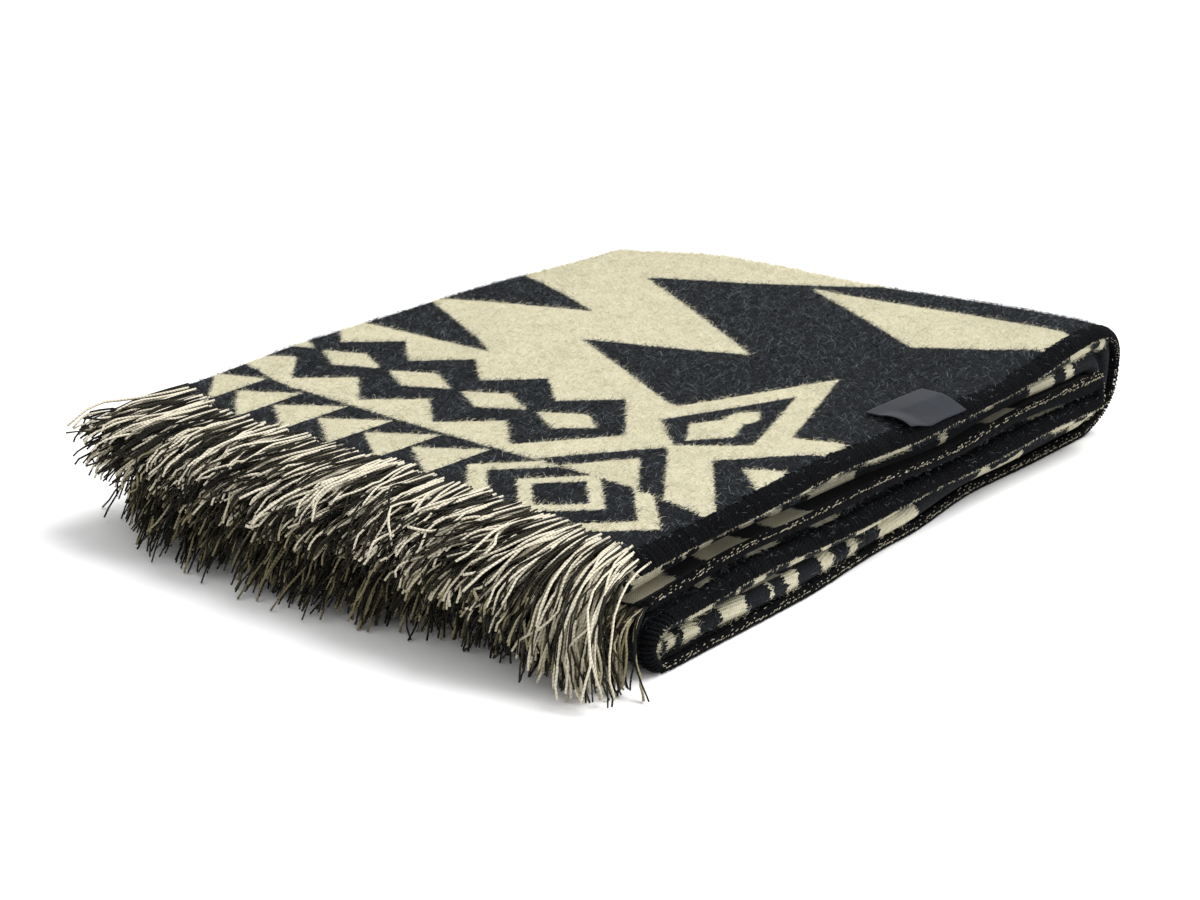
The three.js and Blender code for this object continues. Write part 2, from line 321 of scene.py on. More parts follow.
    def section(self, along: Array, across: Array) -> tuple[Array, Array, Array, Array]:
        """Folds the cloth across.

        Args:
            along: Distances from the first fringed end.
            across: Distances from the free edge that lies on top, over the flat cloth.

        Returns:
            Y, height over the middle layer, and the Y and height parts of the face's direction.
        """
        edge, crease, back, _ = self.sides_at(along)
        back_turn, front_turn = back - self.turn, crease + self.turn
        first, second, _ = self.spans(along)
        bend = math.pi * self.turn
        round_back = np.clip((across - first) / self.turn, 0.0, math.pi)
        round_front = np.clip((across - second) / self.turn, 0.0, math.pi)
        y = np.select(
            [across < first, across < first + bend, across < second, across < second + bend],
            [
                edge + across,
                back_turn + np.sin(round_back) * self.turn,
                back_turn - (across - first - bend),
                front_turn - np.sin(round_front) * self.turn,
            ],
            front_turn + across - second - bend,
        )
        rise = self.turn * (1.0 + np.cos(round_back)) - self.turn * (1.0 - np.cos(round_front))
        face_y = np.sin(round_back) + np.sin(round_front)
        face_n = np.where(across < first + bend, np.cos(round_back), -np.cos(round_front))
        return y, rise, face_y, face_n

    def settle(self, points: Array) -> Array:
        """Lets the stack lie: low hills, an open inner turn, drawn-in corners and soft ripples."""
        x, y, level = points[..., 0], points[..., 1], points[..., 2]
        height = level / self.stack_height
        loft = smooth((level - self.loft_from) / (self.loft_to - self.loft_from))
        lift = sum(hill.at(points) for hill in self.swells) * height
        lift = lift + sum(hill.at(points) for hill in self.lofts) * loft
        front = 1.0 - smooth(y / self.ripple_depth)
        ripple = sum(wave.at(x, level) for wave in self.ripples)
        swale = self.swale_along.at(x, 0.0) * self.swale_across.at(y, 0.0)
        swale = swale + self.swale_slant.at(x - y * self.swale_slant.length / self.swale_slant_across, 0.0)
        lift = lift + height * (self.ripple_lift * ripple * front + self.swale_lift * swale)
        shift = sum(draw.at(points) for draw in self.draws)
        return np.stack([x + shift, y + self.ripple_shift * front * ripple, level + lift], axis=-1)

    def place(self, along: Array, across: Array, height: Array) -> Array:
        """Folds points of the flat cloth into the stack.

        Args:
            along: Distances from the first fringed end.
            across: Distances from the free edge that lies on top.
            height: Heights over the middle of the cloth, towards its brushed face.

        Returns:
            Points in the fold's frame, one row each.
        """
        along, across, height = np.broadcast_arrays(along, across, height)
        x, z, heading = self.station(along)
        y, rise, face_y, face_n = self.section(along, across)
        level = rise + height * face_n
        near_edge = np.clip(1.0 - across / self.curl_reach, 0.0, self.curl_past_edge)
        curl = self.sides_at(along)[3] * near_edge ** self.curl_power
        points = np.stack([
            x - level * np.sin(heading), y + height * face_y, z + level * np.cos(heading) + curl,
        ], axis=-1)
        return self.settle(points)


@dataclass
class MeshParts:
    """Vertices, faces, flat cloth coordinates and other values of a piece that is being made."""

    points: Array
    faces: Array
    flat: Array | None = None
    values: dict[str, Array] = field(default_factory=dict)
    slots: Array | None = None


def sheet_faces(rows: int, columns: int) -> tuple[Array, int]:
    """Lists the faces of a closed sheet whose upper points come first, and then its lower ones.

    Args:
        rows: How many rows of points each of its sides has.
        columns: How many points a row has.

    Returns:
        The four-cornered faces, upper side first, then the lower one and the rims; and how many
        faces each side has.
    """
    top = np.arange(rows * columns).reshape(rows, columns)
    low = top + rows * columns
    groups = [
        (top[:-1, :-1], top[1:, :-1], top[1:, 1:], top[:-1, 1:]),
        (low[:-1, :-1], low[:-1, 1:], low[1:, 1:], low[1:, :-1]),
        (top[:-1, 0], low[:-1, 0], low[1:, 0], top[1:, 0]),
        (top[:-1, -1], top[1:, -1], low[1:, -1], low[:-1, -1]),
        (top[0, :-1], top[0, 1:], low[0, 1:], low[0, :-1]),
        (top[-1, :-1], low[-1, :-1], low[-1, 1:], top[-1, 1:]),
    ]
    faces = np.concatenate([np.stack(corners, axis=-1).reshape(-1, 4) for corners in groups])
    return faces, (rows - 1) * (columns - 1)


def make_piece(
    name: str, parts: MeshParts, origin: Array, finishes: list[bpy.types.Material]
) -> bpy.types.Object:
    """Makes a mesh object that stands at the frame's origin.

    Args:
        name: The piece's name.
        parts: Its mesh, in millimetres in the fold's frame.
        origin: Where the frame's origin lies in the fold's frame.
        finishes: Its materials, by slot.

    Returns:
        The new object.
    """
    mesh = bpy.data.meshes.new(name)
    mesh.vertices.add(len(parts.points))
    placed = (parts.points - origin) * MM
    placed[:, 2] = np.maximum(placed[:, 2], 0.0)
    mesh.vertices.foreach_set("co", placed.astype(np.float32).ravel())
    mesh.loops.add(parts.faces.size)
    mesh.loops.foreach_set("vertex_index", parts.faces.astype(np.int32).ravel())
    mesh.polygons.add(len(parts.faces))
    starts = np.arange(0, parts.faces.size, parts.faces.shape[1], dtype=np.int32)
    mesh.polygons.foreach_set("loop_start", starts)
    mesh.update(calc_edges=True)
    for finish in finishes:
        mesh.materials.append(finish)
    if parts.slots is not None:
        mesh.polygons.foreach_set("material_index", parts.slots.astype(np.int32))
    if parts.flat is not None:
        layer = mesh.uv_layers.new(name="flat_cloth")
        layer.data.foreach_set("uv", (parts.flat[parts.faces.ravel()] * MM).astype(np.float32).ravel())
    for key, numbers in parts.values.items():
        attribute = mesh.attributes.new(key, "FLOAT", "POINT")
        attribute.data.foreach_set("value", numbers.astype(np.float32))
    mesh.validate()
    mesh.shade_smooth()
    piece = bpy.data.objects.new(name, mesh)
    bpy.context.scene.collection.objects.link(piece)
    return piece


def tubes(paths: Array, radii: Array, sideways: Array) -> MeshParts:
    """Sweeps a four-cornered section along many paths at once, and closes its ends.

    Args:
        paths: Points, as tubes by stations by three.
        radii: A radius for each station of each tube.
        sideways: A direction across each tube, as tubes by three.

    Returns:
        The closed tubes, with the angle and the distance along as their flat coordinates.
    """
    count, stations = paths.shape[:2]
    tangent = unit(np.gradient(paths, axis=1))
    aside = sideways[:, None, :]
    across = unit(aside - tangent * np.sum(aside * tangent, -1, keepdims=True))
    upward = np.cross(across, tangent)
    corner = np.arange(SECTION_CORNERS)[None, None, :]
    angles = 2.0 * np.pi * corner / SECTION_CORNERS
    ring = (
        across[:, :, None, :] * np.cos(angles)[..., None]
        + upward[:, :, None, :] * np.sin(angles)[..., None]
    )
    points = paths[:, :, None, :] + ring * radii[:, :, None, None]
    first = (np.arange(count) * stations * SECTION_CORNERS)[:, None, None]
    row = (np.arange(stations - 1) * SECTION_CORNERS)[None, :, None]
    following = (corner + 1) % SECTION_CORNERS
    quads = np.stack([
        first + row + corner,
        first + row + SECTION_CORNERS + corner,
        first + row + SECTION_CORNERS + following,
        first + row + following,
    ], axis=-1).reshape(-1, 4)
    start_caps = first[:, 0] + corner[0]
    end_caps = start_caps[:, ::-1] + (stations - 1) * SECTION_CORNERS
    quads = np.concatenate([quads, start_caps, end_caps])
    steps = np.linalg.norm(np.diff(paths, axis=1), axis=-1)
    distance = np.concatenate([np.zeros((count, 1)), np.cumsum(steps, axis=1)], axis=1)
    flat = np.stack(np.broadcast_arrays(
        corner / SECTION_CORNERS / MM, distance[:, :, None],
    ), axis=-1)
    return MeshParts(points.reshape(-1, 3), quads, flat=flat.reshape(-1, 2))


def add_node(
    tree: bpy.types.NodeTree, kind: str, inputs: tuple | dict = (), **settings: object
) -> bpy.types.Node:
    """Adds a node with its settings and links.

    Args:
        tree: The node tree.
        kind: The node's type, without its ShaderNode prefix.
        inputs: Values, nodes or sockets, in order or by socket name. A node stands for its
            first output.
        settings: The node's own settings.

    Returns:
        The new node.
    """
    node = tree.nodes.new("ShaderNode" + kind)
    for key, value in settings.items():
        setattr(node, key, value)
    named = inputs.items() if isinstance(inputs, dict) else enumerate(inputs)
    for key, value in named:
        if isinstance(value, bpy.types.Node):
            value = value.outputs[0]
        if isinstance(value, bpy.types.NodeSocket):
            tree.links.new(value, node.inputs[key])
        elif value is not None:
            node.inputs[key].default_value = value
    return node


def new_finish(name: str) -> tuple[bpy.types.Material, bpy.types.NodeTree, bpy.types.Node]:
    """Makes an empty material and gives it with its node tree and its shader."""
    material = bpy.data.materials.new(name)
    material.use_nodes = True
    tree = material.node_tree
    tree.nodes.clear()
    shader = add_node(tree, "BsdfPrincipled")
    output = add_node(tree, "OutputMaterial")
    tree.links.new(shader.outputs[0], output.inputs["Surface"])
    return material, tree, shader


class Face(Enum):
    """The two faces of the cloth: the brushed pattern, and its negative behind."""

    FRONT = "front"
    REVERSE = "reverse"


@dataclass(frozen=True)
class WovenPattern:
    """A traditional geometric pattern in charcoal on cream, charted in millimetres.

    It mirrors along the cloth and across it. Each outline gives, at places along the cloth, how far
    it lies from the mirror line across the cloth. The creases and the far edge, which show edge-on
    as rows of cream and charcoal blocks, have a row of their own: the places where blocks change.
    """

    mirror_along: float = 502.0
    axis_across: float = 83.0
    mirror_across: float = 330.0
    edge_softness: float = 1.1
    low: float = -20.0
    high: float = 350.0
    figure: Outline = (
        (0, -20), (181, -20), (182.5, 47), (246, 175), (292, 71), (391, 241), (420, 171), (448, 130),
        (502, 46),
    )
    figure_notch: Outline = ((0, 43), (182, 43), (288, 0), (296, -20), (502, -20))
    wedge: Outline = (
        (0, -20), (360, -20), (368, 0), (439, 131), (442, 60), (443, -20), (502, -20),
    )
    kite: Outline = ((0, -20), (118, -12), (127, 0), (157, 34), (244, 0), (262, -10), (502, -20))
    kite_heart: Outline = (
        (0, -20), (130, -12), (138, 0), (162, 17), (184, 6), (185, 9), (196, 9), (208, 0), (222, -10),
        (502, -20),
    )
    chevron: Outline = ((0, -20), (61.5, -20), (62.5, 47), (122, 0), (136, -12), (502, -20))
    chevron_heart: Outline = ((0, -20), (61.5, -20), (62.5, 29), (98, 0), (110, -10), (502, -20))
    hanging: Outline = (
        (0, 350), (185, 350), (188, 202), (204, 228), (248, 312), (256, 330), (263, 312), (301, 213),
        (346, 312), (362, 350), (502, 350),
    )
    column_x: float = 122.0
    column_first: float = 74.0
    column_pitch: float = 63.0
    column_half: tuple[float, float] = (50.0, 56.0)
    column_heart: tuple[float, float] = (15.0, 28.0)
    column_foot: float = 1.33
    band_end: float = 62.0
    band_x: float = 33.0
    ring_end: float = 77.0
    rings: tuple[float, ...] = (21.0, 32.0, 55.0, 70.0)
    ring_scale: float = 110.0
    tooth_pitch: float = 39.5
    tooth_half: tuple[float, float] = (26.0, 37.0)
    crease_across: tuple[float, float] = (772.0, 815.0)
    crease_blocks: tuple[float, ...] = (
        0, 9, 17, 28, 46, 70, 89, 94, 105, 117, 141, 152, 170, 177, 203, 248, 330, 340, 430, 455, 470,
        479,
    )
    first_stop: float = 0.001
    ragged_scale: float = 0.16
    ragged_wander: float = 10.0
    hem: float = 9.0
    edge_across: float = 26.0
    edge_blocks: tuple[float, ...] = (22, 78, 102, 138, 162, 196, 386, 414)

    def draw(
        self, tree: bpy.types.NodeTree, along: bpy.types.Node, across: bpy.types.Node, face: Face
    ) -> bpy.types.Node:
        """Draws the pattern.

        Args:
            tree: The material's node tree.
            along: Distance along the flat cloth, in millimetres.
            across: Distance across it from the free edge.
            face: The face that is drawn. The reverse is the negative of the front.

        Returns:
            A node that is 1 where the face is charcoal.
        """
        u = add_node(tree, "Math", (along, self.mirror_along), operation="PINGPONG")
        from_axis = add_node(tree, "Math", (across, self.axis_across), operation="SUBTRACT")
        w = add_node(tree, "Math", (from_axis, self.mirror_across), operation="PINGPONG")
        figure = self._within(tree, u, w, self.figure, (self.figure_notch, self.wedge))
        kite = self._within(tree, u, w, self.kite, (self.kite_heart,))
        chevron = self._within(tree, u, w, self.chevron, (self.chevron_heart,))
        hanging = add_node(
            tree, "Math", (1.0, self._under(tree, u, w, self.hanging)), operation="SUBTRACT"
        )
        shapes = [figure, kite, chevron, hanging, self._column(tree, u, w), self._band(tree, u, w)]
        dark = shapes[0]
        for shape in shapes[1:]:
            dark = add_node(tree, "Math", (dark, shape), operation="MAXIMUM")
        spot = add_node(tree, "CombineXYZ", (u, across))
        ragged = add_node(tree, "TexNoise", {"Vector": spot, "Scale": self.ragged_scale})
        wander = add_node(tree, "Math", (ragged, self.ragged_wander, u), operation="MULTIPLY_ADD")
        place = add_node(tree, "Math", (wander, self.ragged_wander / 2.0), operation="SUBTRACT")
        middle = add_node(tree, "Math", (across, sum(self.crease_across) / 2.0), operation="SUBTRACT")
        away = add_node(tree, "Math", (middle,), operation="ABSOLUTE")
        reach = (self.crease_across[1] - self.crease_across[0]) / 2.0
        at_crease = add_node(tree, "Math", (away, reach), operation="LESS_THAN")
        blocks = self._blocks(tree, place, self.crease_blocks)
        dark = add_node(tree, "Mix", {"Factor": at_crease, "A": dark, "B": blocks})
        hem = add_node(tree, "Math", (across, self.hem), operation="LESS_THAN")
        if face is Face.FRONT:
            return add_node(tree, "Math", (dark, hem), operation="MAXIMUM")
        at_edge = add_node(tree, "Math", (across, self.edge_across), operation="LESS_THAN")
        blocks = self._blocks(tree, place, self.edge_blocks)
        dark = add_node(tree, "Mix", {"Factor": at_edge, "A": dark, "B": blocks})
        negative = add_node(tree, "Math", (1.0, dark), operation="SUBTRACT", use_clamp=True)
        return add_node(tree, "Math", (negative, hem), operation="MAXIMUM")

    def _soft_edge(self, tree: bpy.types.NodeTree, inside: bpy.types.Node) -> bpy.types.Node:
        """Turns a distance inside an outline into a share, softly over the outline's edge."""
        return add_node(
            tree, "Math", (inside, 1.0 / self.edge_softness, 0.5), operation="MULTIPLY_ADD", use_clamp=True
        )

    def _under(
        self, tree: bpy.types.NodeTree, u: bpy.types.Node, w: bpy.types.Node, outline: Outline
    ) -> bpy.types.Node:
        """Gives 1 where a point lies nearer the mirror line than an outline."""
        tall = self.high - self.low
        share = add_node(tree, "Math", (u, self.mirror_along), operation="DIVIDE")
        curve = add_node(tree, "FloatCurve", {"Value": share})
        line = curve.mapping.curves[0]
        marks = [(x / self.mirror_along, (y - self.low) / tall) for x, y in outline]
        line.points[0].location, line.points[1].location = marks[0], marks[-1]
        for mark in marks[1:-1]:
            line.points.new(*mark)
        for point in line.points:
            point.handle_type = "VECTOR"
        curve.mapping.update()
        level = add_node(tree, "Math", (curve, tall, self.low), operation="MULTIPLY_ADD")
        return self._soft_edge(tree, add_node(tree, "Math", (level, w), operation="SUBTRACT"))

    def _within(
        self, tree: bpy.types.NodeTree, u: bpy.types.Node, w: bpy.types.Node, outline: Outline,
        hearts: tuple[Outline, ...],
    ) -> bpy.types.Node:
        """Gives 1 under an outline and outside each of its hearts."""
        inside = self._under(tree, u, w, outline)
        for heart in hearts:
            inside = add_node(
                tree, "Math", (inside, self._under(tree, u, w, heart)), operation="SUBTRACT", use_clamp=True
            )
        return inside

    def _column(self, tree: bpy.types.NodeTree, u: bpy.types.Node, w: bpy.types.Node) -> bpy.types.Node:
        """Draws the column of diamonds, each with its own cream heart."""
        kept = add_node(tree, "Math", (w, self.column_first), operation="MAXIMUM")
        below = add_node(tree, "Math", (kept, w), operation="SUBTRACT")
        start = self.column_first - self.column_pitch / 2.0
        moved = add_node(tree, "Math", (kept, start), operation="SUBTRACT")
        turn = add_node(tree, "Math", (moved, self.column_pitch), operation="MODULO")
        centred = add_node(tree, "Math", (turn, self.column_pitch / 2.0), operation="SUBTRACT")
        apart = add_node(tree, "Math", (centred,), operation="ABSOLUTE")
        height = add_node(tree, "Math", (below, self.column_foot, apart), operation="MULTIPLY_ADD")
        aside = add_node(tree, "Math", (u, self.column_x), operation="SUBTRACT")
        beside = add_node(tree, "Math", (aside,), operation="ABSOLUTE")
        shares = []
        for half_along, half_across in (self.column_half, self.column_heart):
            slope = half_across / half_along
            scaled = add_node(tree, "Math", (beside, slope, height), operation="MULTIPLY_ADD")
            inside = add_node(tree, "Math", (half_across, scaled), operation="SUBTRACT")
            shares.append(self._soft_edge(tree, inside))
        return add_node(tree, "Math", tuple(shares), operation="SUBTRACT", use_clamp=True)

    def _band(self, tree: bpy.types.NodeTree, u: bpy.types.Node, w: bpy.types.Node) -> bpy.types.Node:
        """Draws the band along the fringed end: nested diamonds, then a row of cream teeth."""
        aside = add_node(tree, "Math", (u, self.band_x), operation="SUBTRACT")
        beside = add_node(tree, "Math", (aside,), operation="ABSOLUTE")
        ring = add_node(tree, "Math", (beside, w), operation="ADD")
        ring_share = add_node(tree, "Math", (ring, self.ring_scale), operation="DIVIDE")
        ramp = add_node(tree, "ValToRGB", (ring_share,))
        ramp.color_ramp.interpolation = "CONSTANT"
        tones = (1.0, 0.0, 1.0, 0.0, 1.0)
        for index, place in enumerate((0.0, *self.rings)):
            stops = ramp.color_ramp.elements
            stop = stops[index] if index < 2 else stops.new(place / self.ring_scale)
            stop.position = place / self.ring_scale
            stop.color = (*(tones[index],) * 3, 1.0)
        past = add_node(tree, "Math", (w, self.ring_end), operation="SUBTRACT")
        tooth = add_node(tree, "Math", (past, self.tooth_pitch), operation="FLOORED_MODULO")
        half, tall = self.tooth_half
        leaning = add_node(tree, "Math", (tooth, half / tall, beside), operation="MULTIPLY_ADD")
        teeth = self._soft_edge(tree, add_node(tree, "Math", (leaning, half), operation="SUBTRACT"))
        among_teeth = add_node(tree, "Math", (past, 0.0), operation="GREATER_THAN")
        band = add_node(tree, "Mix", {"Factor": among_teeth, "A": ramp, "B": teeth})
        inside = add_node(tree, "Math", (u, self.band_end), operation="LESS_THAN")
        return add_node(tree, "Math", (band, inside), operation="MULTIPLY")

    def _blocks(
        self, tree: bpy.types.NodeTree, u: bpy.types.Node, ends: tuple[float, ...]
    ) -> bpy.types.Node:
        """Draws a row of blocks, 1 inside each, from where they start and end along the cloth."""
        share = add_node(tree, "Math", (u, self.mirror_along), operation="DIVIDE")
        ramp = add_node(tree, "ValToRGB", (share,))
        ramp.color_ramp.interpolation = "CONSTANT"
        stops = ramp.color_ramp.elements
        stops.remove(stops[1])
        stops[0].color = (0.0, 0.0, 0.0, 1.0)
        for index, place in enumerate(ends):
            tone = 0.0 if index % 2 else 1.0
            stops.new(max(place / self.mirror_along, self.first_stop)).color = (tone, tone, tone, 1.0)
        return ramp


@dataclass(frozen=True)
class BrushedCloth:
    """Acrylic and wool cloth, woven in two colours and brushed.

    A brushed face is matt and downy, with soft loops a millimetre or two across, and its colours
    run into each other where fibres cross an outline. The reverse is less brushed, so that its
    weave shows as fine ribs and pin holes. Real threads are 0.6 mm apart, and are drawn twice as
    coarse to show at all.
    """

    pattern: WovenPattern = WovenPattern()
    cream: str = "E3DEC6"
    cream_shade: str = "C6BFA0"
    charcoal: str = "06090E"
    charcoal_light: str = "141B24"
    fibre_light: str = "8B959C"
    loop: float = 1.6
    loop_spread: tuple[float, float] = (0.3, 0.7)
    cloud: float = 28.0
    cloud_shades: tuple[float, float] = (0.94, 1.05)
    fuzz: float = 0.7
    stray: tuple[float, float] = (12.0, 2.0)
    streak: tuple[float, float] = (0.17, 1.5)
    dark_power: float = 2.0
    dark_fibre_power: float = 5.0
    weave_row: float = 1.25
    weave_stitch: float = 1.5
    weave_relief: float = 0.16
    pin_holes: tuple[float, float] = (0.15, 0.75)
    pin_hole_shade: float = 0.55
    roughness: float = 0.95
    specular: float = 0.15
    sheen: float = 0.05
    sheen_roughness: float = 0.5
    relief: float = 0.9
    relief_height: float = 1.2

    def make(self, face: Face, fibres: bool = False) -> bpy.types.Material:
        """Makes the cloth's finish.

        Args:
            face: Which face of the cloth it is for.
            fibres: Whether it is for single nap fibres, which carry their root's place.

        Returns:
            The material.
        """
        material, tree, shader = new_finish(f"brushed_cloth_{face.value}" + ("_nap" if fibres else ""))
        place = add_node(tree, "UVMap", uv_map="flat_cloth")
        flat = add_node(tree, "VectorMath", {0: place, "Scale": 1.0 / MM}, operation="SCALE")
        streaked = add_node(tree, "VectorMath", (flat, (*self.streak, 1.0)), operation="MULTIPLY")
        strayed = add_node(tree, "TexNoise", {"Vector": streaked, "Scale": 1.0, "Detail": 2.0})
        centred = add_node(
            tree, "VectorMath", (strayed.outputs["Color"], (0.5, 0.5, 0.5)), operation="SUBTRACT"
        )
        stray = (*self.stray, 0.0)
        moved = add_node(tree, "VectorMath", (centred, stray, flat), operation="MULTIPLY_ADD")
        split = add_node(tree, "SeparateXYZ", (moved,))
        dark = self.pattern.draw(tree, split.outputs["X"], split.outputs["Y"], face)
        loops = add_node(tree, "TexNoise", {
            "Vector": flat, "Scale": 1.0 / self.loop, "Detail": 3.0, "Roughness": 0.6,
        })
        low, high = self.loop_spread
        if fibres:
            tone = add_node(tree, "Attribute", attribute_name="fibre_tone").outputs["Fac"]
        else:
            tone = add_node(tree, "MapRange", {"Value": loops, "From Min": low, "From Max": high})
        clouds = add_node(tree, "TexNoise", {"Vector": flat, "Scale": 1.0 / self.cloud, "Detail": 3.0})
        cream = add_node(tree, "Mix", {
            "Factor": tone, 6: srgb(self.cream_shade), 7: srgb(self.cream),
        }, data_type="RGBA")
        power = self.dark_fibre_power if fibres else self.dark_power
        lightest = self.fibre_light if fibres else self.charcoal_light
        charcoal_tone = add_node(tree, "Math", (tone, power), operation="POWER")
        charcoal = add_node(tree, "Mix", {
            "Factor": charcoal_tone, 6: srgb(self.charcoal), 7: srgb(lightest),
        }, data_type="RGBA")
        colour = add_node(tree, "Mix", {
            "Factor": dark, 6: cream.outputs[2], 7: charcoal.outputs[2],
        }, data_type="RGBA")
        cloudy = add_node(tree, "MapRange", {
            "Value": clouds, "From Min": low, "From Max": high,
            "To Min": self.cloud_shades[0], "To Max": self.cloud_shades[1],
        })
        tinted = add_node(tree, "VectorMath", {0: colour.outputs[2], "Scale": cloudy}, operation="SCALE")
        tree.links.new(tinted.outputs[0], shader.inputs["Base Color"])
        shader.inputs["Roughness"].default_value = self.roughness
        shader.inputs["Specular IOR Level"].default_value = self.specular
        shader.inputs["Sheen Weight"].default_value = self.sheen
        shader.inputs["Sheen Roughness"].default_value = self.sheen_roughness
        if fibres:
            return material
        fine = add_node(tree, "TexNoise", {"Vector": flat, "Scale": 1.0 / self.fuzz, "Detail": 2.0})
        relief = add_node(tree, "Math", (loops, fine), operation="ADD")
        if face is Face.REVERSE:
            unmoved = add_node(tree, "SeparateXYZ", (flat,))
            waves = []
            for axis, pitch in (("X", self.weave_stitch), ("Y", self.weave_row)):
                turns = (unmoved.outputs[axis], 2.0 * math.pi / pitch)
                angle = add_node(tree, "Math", turns, operation="MULTIPLY")
                waves.append(add_node(tree, "Math", (angle,), operation="SINE"))
            ribbed = (waves[1], self.weave_relief, relief)
            relief = add_node(tree, "Math", ribbed, operation="MULTIPLY_ADD")
            holes = add_node(tree, "Math", tuple(waves), operation="MULTIPLY")
            kept = add_node(tree, "MapRange", {
                "Value": holes, "From Min": self.pin_holes[0], "From Max": self.pin_holes[1],
                "To Min": 1.0, "To Max": self.pin_hole_shade,
            })
            woven = add_node(tree, "VectorMath", {0: tinted, "Scale": kept}, operation="SCALE")
            tree.links.new(woven.outputs[0], shader.inputs["Base Color"])
        bump = add_node(tree, "Bump", {
            "Height": relief, "Strength": self.relief, "Distance": self.relief_height * MM,
        })
        tree.links.new(bump.outputs[0], shader.inputs["Normal"])
        return material


@dataclass(frozen=True)
class SpunYarn:
    """Plied acrylic yarn: soft, slightly shiny along its twist, one tone a strand.

    The plies turn once in 2.2 mm, which shows as slanted ribs, with painted shade between the plies.
    """

    name: str
    light: str
    middle: str
    dark: str
    twist: float = 2.2
    ply_groove_shade: float = 0.72
    roughness: float = 0.75
    specular: float = 0.3
    sheen: float = 0.1
    relief: float = 0.5
    relief_height: float = 0.3

    def make(self) -> bpy.types.Material:
        """Makes the yarn's finish, with a tone for each strand, and its plies as bump and as painted shade.
        """
        material, tree, shader = new_finish(self.name)
        tone = add_node(tree, "Attribute", attribute_name="yarn_tone").outputs["Fac"]
        base = add_node(tree, "ValToRGB", (tone,))
        stops = base.color_ramp.elements
        stops[0].color, stops[1].color = srgb(self.dark), srgb(self.light)
        stops.new(0.5).color = srgb(self.middle)
        place = add_node(tree, "UVMap", uv_map="flat_cloth")
        split = add_node(tree, "SeparateXYZ", (place,))
        twisted = (split.outputs["Y"], 1.0 / (self.twist * MM), split.outputs["X"])
        turn = add_node(tree, "Math", twisted, operation="MULTIPLY_ADD")
        angle = add_node(tree, "Math", (turn, 2.0 * math.pi), operation="MULTIPLY")
        ply = add_node(tree, "Math", (angle,), operation="SINE")
        # Painted shade: the colour darkens in the grooves between the plies.
        shade = add_node(tree, "MapRange", {
            "Value": ply, "From Min": -1.0, "From Max": 1.0, "To Min": self.ply_groove_shade, "To Max": 1.0,
        })
        tinted = add_node(tree, "VectorMath", {0: base, "Scale": shade}, operation="SCALE")
        tree.links.new(tinted.outputs[0], shader.inputs["Base Color"])
        shader.inputs["Roughness"].default_value = self.roughness
        shader.inputs["Specular IOR Level"].default_value = self.specular
        shader.inputs["Sheen Weight"].default_value = self.sheen
        bump = add_node(tree, "Bump", {
            "Height": ply, "Strength": self.relief, "Distance": self.relief_height * MM,
        })
        tree.links.new(bump.outputs[0], shader.inputs["Normal"])
        return material


@dataclass(frozen=True)
class LabelSatin:
    """Polyester satin ribbon: fine warp floats, with soft streaks of gloss painted into its colour along
    them.
    """

    colour: str = "070C14"
    # Colour of the painted gloss streaks.
    light: str = "121B29"
    thread: float = 0.35
    float_length: float = 0.15
    cloud: float = 9.0
    gloss_from: float = 0.12
    gloss_to: float = 0.42
    roughness: float = 0.42
    specular: float = 0.17
    sheen: float = 0.03
    relief: float = 0.35
    relief_height: float = 0.2

    def make(self) -> bpy.types.Material:
        """Makes the label's finish."""
        material, tree, shader = new_finish("satin_ribbon")
        place = add_node(tree, "TexCoord").outputs["Object"]
        flat = add_node(tree, "VectorMath", {0: place, "Scale": 1.0 / MM}, operation="SCALE")
        stretched = add_node(tree, "VectorMath", (flat, (self.float_length, 1.0, 1.0)), operation="MULTIPLY")
        threads = add_node(tree, "TexNoise", {
            "Vector": stretched, "Scale": 1.0 / self.thread, "Detail": 2.0,
        })
        clouds = add_node(tree, "TexNoise", {"Vector": flat, "Scale": 1.0 / self.cloud, "Detail": 2.0})
        both = add_node(tree, "Math", (threads, clouds), operation="MULTIPLY")
        # Painted gloss: streaks along the warp floats are lightened towards the gloss colour.
        share = add_node(tree, "MapRange", {
            "Value": both, "From Min": self.gloss_from, "From Max": self.gloss_to,
        })
        colour = add_node(tree, "Mix", {
            "Factor": share, 6: srgb(self.colour), 7: srgb(self.light),
        }, data_type="RGBA")
        tree.links.new(colour.outputs[2], shader.inputs["Base Color"])
        shader.inputs["Roughness"].default_value = self.roughness
        shader.inputs["Specular IOR Level"].default_value = self.specular
        shader.inputs["Sheen Weight"].default_value = self.sheen
        bump = add_node(tree, "Bump", {
            "Height": threads, "Strength": self.relief, "Distance": self.relief_height * MM,
        })
        tree.links.new(bump.outputs[0], shader.inputs["Normal"])
        return material


